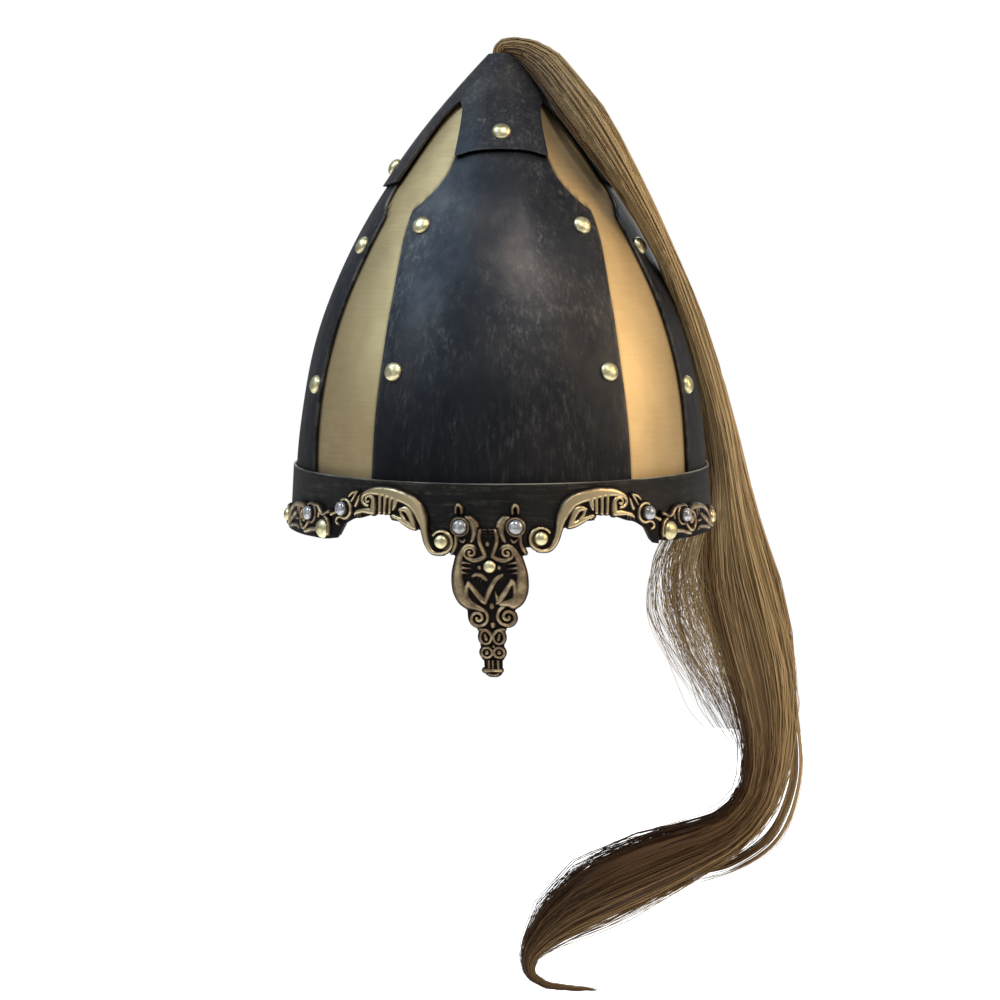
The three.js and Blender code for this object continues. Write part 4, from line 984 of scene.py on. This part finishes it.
def casting(node, margin, paths, box, place, side, painted_light):
    """A casting as a fine height field over a grid, trimmed to its outline, with its walls and back."""
    columns = np.arange(box[0], box[1], CAST_GRID)
    x, z = np.meshgrid(columns, np.arange(box[2], box[3], CAST_GRID), indexing="ij")
    room = np.maximum(margin(x, z), relief_at(x, z, paths)[0] + CAST_BORDER)
    solid = room > 0
    keep = solid[:-1, :-1] & solid[1:, :-1] & solid[1:, 1:] & solid[:-1, 1:]
    around = np.zeros(x.shape, int)
    for i in (0, 1):
        for j in (0, 1):
            around[i:x.shape[0] - 1 + i, j:x.shape[1] - 1 + j] += keep
    rim = (around > 0) & (around < 4)
    slope_x, slope_z = np.gradient(room, CAST_GRID)
    steep = np.maximum(np.hypot(slope_x, slope_z), 0.4)
    move = np.where(rim, np.clip(room / steep, 0, 1.3 * CAST_GRID), 0)
    x = x - move * slope_x / steep
    z = z - move * slope_z / steep
    used = around > 0
    ids = np.cumsum(used.reshape(-1)).reshape(used.shape) - 1
    total = int(used.sum())
    rise = relief_at(x[used], z[used], paths)[1]
    worn = np.clip(room[used] / 0.5, 0, 1)
    height = SEAT_GAP + CAST_WALL * (0.75 + 0.25 * np.sqrt(1 - (1 - worn) ** 2)) + RELIEF * rise
    top = place(x[used], z[used], height)
    back = place(x[used], z[used], SEAT_GAP)
    a, b, c, d = ids[:-1, :-1], ids[1:, :-1], ids[1:, 1:], ids[:-1, 1:]
    faces = [np.stack([a, b, c, d], -1)[keep], np.stack([d, c, b, a], -1)[keep] + total]
    padded = np.pad(keep, 1)
    for first, last, empty in ((a, b, ~padded[1:-1, :-2]), (b, c, ~padded[2:, 1:-1]),
                               (c, d, ~padded[1:-1, 2:]), (d, a, ~padded[:-2, 1:-1])):
        edge = keep & empty
        faces.append(np.stack([last[edge], first[edge], first[edge] + total, last[edge] + total], -1))
    faces = np.concatenate(faces)
    if side < 0:
        faces = faces[:, ::-1]
    # The relief height times the casting's painted light share becomes its 'lift' number, which the bronze
    # finish colours by
    marks = {"lift": np.concatenate([rise * painted_light, np.zeros(total)])}
    make_object(f"{node}_relief", np.concatenate([top, back]), faces, "bronze", [node], marks, sharp=75)


def stud(node, radius, lift, along, z):
    """A domed rivet or a crystal on the trim."""
    point = on_trim(along, z, SEAT_GAP + CAST_WALL + lift)
    axis = axis_of(on_trim, along, z)
    if node.startswith("crystal"):
        add_crystal(node, radius, point, axis)
    else:
        add_rivet(node, radius, 0.75 * radius, point, axis)


def nasal_place(out, up):
    return out * MODULE - up * MODULE * NASAL_LEAN, up * MODULE


nasal_heights = column(NASAL_BASE, "height") * MODULE
nasal_halves = column(NASAL_BASE, "half") * MODULE


def nasal_margin(x, z):
    half = bent(nasal_heights, nasal_halves, z)
    return np.minimum(half - np.abs(x), np.minimum(z - nasal_heights[0], nasal_heights[-1] - z))


casting("nasal_casting", nasal_margin, relief_paths(NASAL_STROKES, NASAL_COILS, 1), NASAL_GRID,
        lambda x, z, out: on_trim(x - z * NASAL_LEAN, z, out), 1, NASAL_PAINTED_LIGHT)
for row in NASAL_STUDS:
    along, z = nasal_place(row["out"], row["up"])
    stud(row["node"], row["radius"], row["lift"], along, z)


def fitted(fit, side, out, up):
    """Places a point of a casting's table, in millimetres, on its side of the nasal."""
    turn = math.radians(fit["turn"])
    dx = out - BROW_MIDDLE[0] * MODULE
    dz = up - BROW_MIDDLE[1] * MODULE
    x = (BROW_MIDDLE[0] + fit["shift"]) * MODULE + dx * math.cos(turn) - dz * math.sin(turn)
    z = (BROW_MIDDLE[1] + fit["lift"]) * MODULE + dx * math.sin(turn) + dz * math.cos(turn)
    return side * x, z


def strip_margin(base):
    outs = column(base, "out") * MODULE
    lows = column(base, "low") * MODULE
    highs = column(base, "high") * MODULE

    def margin(x, z):
        ends = np.minimum(x - outs[0], outs[-1] - x)
        return np.minimum(ends, np.minimum(z - bent(outs, lows, x), bent(outs, highs, x) - z))

    return margin


for hand, side in (("left", -1), ("right", 1)):
    for part, base, strokes, coils, studs, fit, painted_light in (
        ("brow", BROW_BASE, BROW_STROKES, BROW_COILS, BROW_STUDS, BROW_FIT[hand], BROW_PAINTED_LIGHT),
        ("side", TEMPLE_BASE, TEMPLE_STROKES, TEMPLE_COILS, TEMPLE_STUDS, TEMPLE_FIT[hand], SIDE_PAINTED_LIGHT),
    ):
        first, last = (base[n]["out"] * MODULE for n in (0, -1))
        reach = (first - GRID_BEFORE, last + GRID_AFTER, GRID_LOW, GRID_HIGH)
        paths = relief_paths(strokes, coils)

        def place(x, z, out, fit=fit, side=side):
            along, up = fitted(fit, side, x, z)
            return on_trim(along, up, out)

        casting(f"{hand}_{part}_casting", strip_margin(base), paths, reach, place, side, painted_light)
        for row in studs:
            along, z = fitted(fit, side, row["out"] * MODULE, row["up"] * MODULE)
            stud(row["node"] + hand, row["radius"], row["lift"], along, z)


# Plain trim strip round the back, from one temple casting's end to the other's
strip_end = TEMPLE_BASE[-1]["out"] * MODULE
rear_start = fitted(TEMPLE_FIT["right"], 1, strip_end, 0)[0] + CAST_SPLIT
rear_end = BAND_GIRTH + fitted(TEMPLE_FIT["left"], -1, strip_end, 0)[0] - CAST_SPLIT
rear_rows = spaced(0, REAR_HEIGHT * MODULE, 1.2)
rear_along, rear_z = np.meshgrid(spaced(rear_start, rear_end, 3), rear_rows, indexing="ij")
points, faces = wall(on_trim(rear_along, rear_z, SEAT_GAP + CAST_WALL), on_trim(rear_along, rear_z, SEAT_GAP))
# The plain strip gets one even 'lift', its painted light share
rear_marks = {"lift": np.full(len(points), REAR_PAINTED_LIGHT)}
soften(make_object("rear_trim_strip", points, faces, "bronze", ["rear_trim"], rear_marks), THICK_BEVEL)

# Band: its lower edge follows the castings over the eyes, and a tongue runs down behind the nasal
band_edge = []
for hand, side in (("left", -1), ("right", 1)):
    for row in BROW_BASE:
        along, z = fitted(BROW_FIT[hand], side, row["out"] * MODULE, row["low"] * MODULE)
        band_edge.append((along, max(BAND_FOOT, z + EDGE_COVER)))
    for share, z in ((0.42, -TONGUE_LENGTH), (1, -0.4 * TONGUE_LENGTH), (1.1, BAND_FOOT)):
        band_edge.append((side * share * TONGUE_HALF_WIDTH, z))
band_edge = np.array(sorted([*band_edge, (-BAND_GIRTH / 2, BAND_FOOT), (BAND_GIRTH / 2, BAND_FOOT)]))
band_along = np.arange(-BAND_GIRTH / 2, BAND_GIRTH / 2, BAND_STEP)
band_along = np.unique(np.round(np.concatenate([band_along, band_edge[:-1, 0]]), 3))
band_low = np.interp(band_along, band_edge[:, 0], band_edge[:, 1])
band_share = np.linspace(0, 1, 14)[None, :]
band_z = band_low[:, None] + (BAND_HEIGHT - BAND_LIP - band_low[:, None]) * band_share
band_z = np.concatenate([band_z, np.full((len(band_low), 1), BAND_HEIGHT)], axis=1)
band_x = np.broadcast_to(band_along[:, None], band_z.shape)
points, faces = wall(on_trim(band_x, band_z, 0), on_trim(band_x, band_z, -BAND_WALL), True)
# Only the band's top row is marked, for its lighter rim of wear and painted highlight
band_mark = np.zeros(band_z.shape)
band_mark[:, -1] = 1
band_marks = {"edge": np.tile(band_mark.reshape(-1), 2)}
band = make_object("brow_band_skin", points, faces, "iron", ["brow_band"], band_marks)
band.data.materials[0] = finish("band_iron", band_iron)
soften(band, SHEET_BEVEL)


# Plume


def sections_of(arch, side, drop):
    """Centres of the plume's sections, with their half-widths, in millimetres."""
    centres = []
    for row in arch:
        out, back, up = (row[key] * PLUME_WIDTH for key in ("out", "back", "up"))
        centres.append([out, back, CAP_TOP + up])
    for row in side:
        z = row["height"] * SKULL_HEIGHT
        centres.append([row["out"] * half_width(z), row["back"] * half_depth(z), z])
    for row in drop:
        out, back = (row[key] * HEAD_HALF_WIDTH for key in ("out", "back"))
        centres.append([out, back, -row["down"] * PLUME_FALL])
    rows = [*arch, *side, *drop]
    return np.array(centres), column(rows, "wide") * PLUME_WIDTH, column(rows, "thick") * PLUME_WIDTH


class Tress:
    """A lock's middle line with its sideways directions and half-widths, read at shares of its length."""

    def __init__(self, arch, side, drop):
        centres, wide, thick = sections_of(arch, side, drop)
        gaps = np.linalg.norm(np.diff(centres, axis=0), axis=1)
        knots = np.concatenate([[0], np.cumsum(gaps)])
        fine = np.linspace(0, knots[-1], LINE_POINTS)
        line = self.through(knots, centres, fine)
        length = np.concatenate([[0], np.cumsum(np.linalg.norm(np.diff(line, axis=0), axis=1))])
        self.share = length / length[-1]
        self.length = length[-1]
        self.line = line
        self.wide = np.interp(fine, knots, wide)
        self.thick = np.interp(fine, knots, thick)
        ahead = unit(np.gradient(line, axis=0))
        turning = np.linalg.norm(np.gradient(ahead, length, axis=0), axis=1)
        self.work = np.concatenate([[0], np.cumsum(np.diff(length) * (1 + BEND_WEIGHT * turning[1:]))])
        self.depth = unit(np.array([0, 1.0, 0]) - ahead * ahead[:, 1:2])
        self.across = np.cross(ahead, self.depth)

    @staticmethod
    def through(knots, centres, at):
        """Smooth line through the centres."""
        tangents = np.gradient(centres, knots, axis=0)
        i = np.clip(np.searchsorted(knots, at, side="right") - 1, 0, len(knots) - 2)
        step = np.diff(knots)[i][:, None]
        t = (at[:, None] - knots[i][:, None]) / step
        return curve(t, centres[i], centres[i + 1], tangents[i] * step, tangents[i + 1] * step)

    def read(self, values, share):
        if values.ndim == 1:
            return np.interp(share, self.share, values)
        return np.stack([np.interp(share, self.share, values[:, k]) for k in range(values.shape[1])], -1)

    def stations(self, first, last, count):
        """Shares from first to last, closer together where the tress bends."""
        low, high = np.interp([first, last], self.share, self.work)
        return np.interp(np.linspace(low, high, count), self.work, self.share)


def clear_of_skull(points):
    """Hair that would run through the helmet is laid on its outside."""
    x, y, z = points[..., 0], points[..., 1], points[..., 2]
    over = np.where(z > SIDE_LOBE[0]["height"] * SKULL_HEIGHT, CAP_FACE, 0) + HAIR_CLEARANCE
    near_band = (z < BAND_HEIGHT) & (z > -2)
    over = np.where(near_band, BAND_FACE + BAND_FLARE + CAST_WALL + HAIR_CLEARANCE + 1, over)
    a = half_width(np.clip(z, 0, SKULL_HEIGHT)) + over
    b = half_depth(np.clip(z, 0, SKULL_HEIGHT)) + over
    inside = np.sqrt((x / a) ** 2 + (y / b) ** 2)
    push = np.where((inside < 1) & (z > -2) & (z < CAP_TOP - 6), 1 / np.maximum(inside, 0.05), 1)
    return np.stack([x * push, y * push, z], -1)


# Hair: millimetres off the helmet, points and radius of a strand, strands in a piece, the body under the
# strands, and the share of the length from which a painted shade turns the hair dark
HAIR_CLEARANCE = 0.8
HAIR_POINTS = 34
HAIR_RADIUS = 0.29
HAIR_BATCH = 820
CORE_SIZE = 0.8
CORE_END = 0.955
CORE_RINGS = 90
CORE_SIDES = 40
CORE_GROOVES = 6.5
DARK_FROM = 0.6
TRESSES = table("name strands locks fly last girth tone", [
    ("plume", 2060, 40, 0.02, (0.78, 1.0), 1.0, 0.6), ("outer", 200, 6, 0.15, (0.7, 1.0), 0.75, 0.6),
    ("inner", 340, 26, 0.2, (0.5, 1.0), 0.42, 0.75),
])


def strands_of(tress, row):
    """Paths, radii and tones of a tress's strands, shaped (strands, points)."""
    count = row["strands"]
    locks = row["locks"]
    lock_turn = rng.uniform(0, 2 * np.pi, locks)
    lock_far = np.sqrt(rng.uniform(0, 1, locks)) * 0.82
    lock_u = lock_far * np.cos(lock_turn)
    lock_v = lock_far * np.sin(lock_turn)
    lock_tone = rng.uniform(-0.22, 0.22, locks)
    lock_wave = rng.uniform(0, 2 * np.pi, (locks, 4))
    lock_rate = rng.uniform(1.0, 2.6, (locks, 2))
    which = rng.integers(0, locks, count)
    last = rng.uniform(*row["last"], count)
    last = np.where(rng.uniform(0, 1, count) < 0.08, last * rng.uniform(0.45, 0.9, count), last)
    share = np.stack([tress.stations(0, end, HAIR_POINTS) for end in last])
    grow = np.clip(share / 0.25, 0, 1)
    turn = rng.uniform(0, 2 * np.pi, count)
    far = np.sqrt(rng.uniform(0, 1, count))
    spread = 0.36 - 0.12 * np.sin(np.pi * np.clip(share, 0, 1)) + 0.1 * (1 - grow)
    wander = 0.12 * grow
    bend = 2 * np.pi * lock_rate[which][:, None] * share[..., None] + lock_wave[which, None, :2]
    u = lock_u[which][:, None] + wander * np.sin(bend[..., 0])
    v = lock_v[which][:, None] + wander * np.sin(bend[..., 1])
    u = u + spread * (far * np.cos(turn))[:, None]
    v = v + spread * (far * np.sin(turn))[:, None]
    wave = rng.uniform(0, 2 * np.pi, (count, 2))
    rate = rng.uniform(2, 6, (count, 2))
    size = rng.uniform(0.01, 0.05, (count, 1)) * grow
    u = u + size * np.sin(2 * np.pi * rate[:, :1] * share + wave[:, :1])
    v = v + size * np.sin(2 * np.pi * rate[:, 1:] * share + wave[:, 1:])
    loose = (rng.uniform(0, 1, count) < row["fly"]) * rng.uniform(0.2, 0.75, count)
    away = np.sign(rng.uniform(-0.6, 1, count))
    leave = np.clip((share - 0.3) / 0.4, 0, 1) * np.sin(np.pi * np.clip(share, 0, 1)) ** 0.5
    u = u + (loose * away)[:, None] * leave
    centre = tress.read(tress.line, share)
    across = tress.read(tress.across, share) * (tress.read(tress.wide, share) * u)[..., None]
    depth = tress.read(tress.depth, share) * (tress.read(tress.thick, share) * v)[..., None]
    points = clear_of_skull(centre + across + depth)
    along = np.linspace(0, 1, HAIR_POINTS)
    taper = np.clip((1.02 - along) / 0.25, 0.25, 1)
    radius = HAIR_RADIUS * row["girth"] * rng.uniform(0.75, 1.25, (count, 1)) * taper
    # Besides each lock's and strand's own random tone, a painted light and shade: lighter towards the tress's
    # across side, its top over the cap and its outer side lower down, darker on the other side and towards
    # its back
    tone = row["tone"] + lock_tone[which][:, None] + rng.uniform(-0.24, 0.24, (count, 1)) + 0.18 * u - 0.1 * v
    # A painted shade darkens the hair from DARK_FROM to the ends
    tone = tone - row["tone"] * 0.75 * np.clip((share - DARK_FROM) / 0.16, 0, 1)
    tone = tone + 0.12 * np.sin(np.pi * np.clip(share / DARK_FROM, 0, 1))
    # A painted shade darkens the plume near its roots, at the top
    tone = tone - 0.3 * np.clip(1.15 - share / 0.16, 0, 1) * (row["name"] == "plume")
    return points, radius, tone


def tubes(points, radius, tone):
    """Thin closed three-sided tubes along many paths."""
    count, rings = points.shape[:2]
    ahead = unit(np.gradient(points, axis=1))
    first = unit(np.cross(ahead, [0, 1.0, 0]))
    second = np.cross(ahead, first)
    turns = rng.uniform(0, 2 * np.pi, (count, 1, 1)) + np.array([0, 2, 4]) * np.pi / 3
    ring = np.cos(turns)[..., None] * first[:, :, None] + np.sin(turns)[..., None] * second[:, :, None]
    skin = points[:, :, None] + radius[..., None, None] * ring
    ids = np.arange(count * rings * 3).reshape(count, rings, 3)
    ahead_ids = np.roll(ids, -1, axis=2)
    sides = np.stack([ids[:, :-1], ahead_ids[:, :-1], ahead_ids[:, 1:], ids[:, 1:]], -1).reshape(-1, 4)
    ends = np.concatenate([ids[:, 0, ::-1], ids[:, -1]])
    tones = np.repeat(tone.reshape(-1), 3)
    return skin.reshape(-1, 3), sides.tolist() + ends.tolist(), tones


def core_of(tress, size):
    """Closed inner body of a tress, grooved lengthways like packed hair."""
    share = tress.stations(0.0, CORE_END, CORE_RINGS)[:, None]
    turn = np.linspace(0, 2 * np.pi, CORE_SIDES, endpoint=False)[None, :]
    groove = 1 - 0.1 * np.abs(np.sin(CORE_GROOVES * turn + 5 * share))
    grip = size * groove * np.clip((0.97 - share) / 0.12, 0.15, 1)
    across = (tress.read(tress.wide, share[:, 0])[:, None] * grip * np.cos(turn))[..., None]
    depth = (tress.read(tress.thick, share[:, 0])[:, None] * grip * np.sin(turn))[..., None]
    centre = tress.read(tress.line, share[:, 0])[:, None]
    points = centre + across * tress.read(tress.across, share[:, 0])[:, None]
    points = points + depth * tress.read(tress.depth, share[:, 0])[:, None]
    points = clear_of_skull(points)
    rows, sides = points.shape[:2]
    ids = np.arange(rows * sides).reshape(rows, sides)
    ahead = np.roll(ids, -1, axis=1)
    faces = np.stack([ids[:-1], ids[1:], ahead[1:], ahead[:-1]], -1).reshape(-1, 4).tolist()
    faces += [ids[0], ids[-1][::-1]]
    return points.reshape(-1, 3), faces


main_tress = Tress(PLUME_ARCH, PLUME_SIDE, PLUME_DROP)
points, faces = core_of(main_tress, CORE_SIZE)
core_heights = [-PLUME_FALL, -0.8 * PLUME_FALL, -0.6 * PLUME_FALL, CAP_TOP]
# The core is darker than the strands and darkest at its lower end, a painted shade inside the plume
core_tone = np.interp(points[:, 2], core_heights, [0.02, 0.05, 0.3, 0.28])
make_object("plume_core", points, faces, "horsehair", ["plume"], {"tone": core_tone}, sharp=80)

paths = []
for row, tress in zip(TRESSES, (main_tress, Tress([], [], OUTER_TRESS), Tress([], [], INNER_TRESS))):
    paths.append(strands_of(tress, row))
hair_points, hair_radius, hair_tone = (np.concatenate(list(part)) for part in zip(*paths))
for n, start in enumerate(range(0, len(hair_points), HAIR_BATCH)):
    some = slice(start, start + HAIR_BATCH)
    points, faces, tones = tubes(hair_points[some], hair_radius[some], hair_tone[some])
    make_object(f"plume_hair_{n + 1}", points, faces, "horsehair", ["plume"], {"tone": tones}, sharp=180)


# Camera, light and floor

CAMERA_DISTANCE = 1150
CAMERA_HEIGHT = 128.25
CAMERA_SIDE = -0.7
CAMERA_PITCH = 5.83
CAMERA_LENS = 82.8


def add_camera():
    camera = bpy.data.objects.new("camera", bpy.data.cameras.new("camera"))
    bpy.context.scene.collection.objects.link(camera)
    camera.location = (CAMERA_SIDE * MM, -CAMERA_DISTANCE * MM, CAMERA_HEIGHT * MM)
    camera.rotation_euler = (math.radians(90 - CAMERA_PITCH), 0, 0)
    camera.data.lens = CAMERA_LENS
    camera.data.sensor_width = 36
    bpy.context.scene.camera = camera


LIGHTS = table("name at size power colour", [
    ("warm_right", (1.5, -0.35, 0.75), (0.9, 1.1), 16, (1.0, 0.8, 0.56)),
    ("cool_left", (-0.95, -0.35, 1.25), (0.6, 0.7), 17, (0.6, 0.82, 1.0)),
    ("key_top", (0.35, -0.95, 1.5), (0.35, 0.35), 13, (1.0, 0.95, 0.88)),
    ("front_left", (-1.1, -1.5, 0.5), (0.5, 0.8), 2, (0.92, 0.97, 1.0)),
    ("rear", (0.3, 1.4, 0.8), (1.2, 1.2), 9, (1, 1, 1)),
])
AIM = Vector((0.0, 0.0, 0.05))


def add_lights():
    for row in LIGHTS:
        light = bpy.data.lights.new(row["name"], "AREA")
        light.shape = "RECTANGLE"
        light.size, light.size_y = row["size"]
        light.energy = row["power"]
        light.color = row["colour"]
        lamp = bpy.data.objects.new(row["name"], light)
        bpy.context.scene.collection.objects.link(lamp)
        lamp.location = row["at"]
        lamp.rotation_euler = (AIM - lamp.location).to_track_quat("-Z", "Y").to_euler()


def add_world():
    world = bpy.data.worlds.new("studio")
    bpy.context.scene.world = world
    world.use_nodes = True
    tree = world.node_tree
    tree.nodes.clear()
    path = add_node(tree, "ShaderNodeLightPath")
    soft = add_node(tree, "ShaderNodeBackground", {"Color": (0.93, 0.96, 1.0, 1), "Strength": 0.26})
    plain = add_node(tree, "ShaderNodeBackground", {"Color": (1, 1, 1, 1), "Strength": 1.0})
    inputs = {0: path.outputs["Is Camera Ray"], 1: soft.outputs[0], 2: plain.outputs[0]}
    both = add_node(tree, "ShaderNodeMixShader", inputs)
    add_node(tree, "ShaderNodeOutputWorld", {"Surface": both.outputs[0]})


FLOOR_DROP = 60
FLOOR_RADIUS = 1000
FLOOR_SIDES = 64


def add_floor():
    turns = np.linspace(0, 2 * np.pi, FLOOR_SIDES, endpoint=False)
    z = np.full(FLOOR_SIDES, -PLUME_FALL - FLOOR_DROP)
    points = np.stack([FLOOR_RADIUS * np.cos(turns), FLOOR_RADIUS * np.sin(turns), z], -1) * MM
    mesh = bpy.data.meshes.new("floor")
    mesh.from_pydata(points.tolist(), [], [list(range(FLOOR_SIDES))])
    floor = bpy.data.objects.new("floor", mesh)
    bpy.context.scene.collection.objects.link(floor)
    floor.data.materials.append(finish("floor", bright_floor))


add_camera()
add_lights()
add_world()
add_floor()
bpy.context.scene.view_settings.view_transform = "Standard"

bpy.context.view_layer.update()
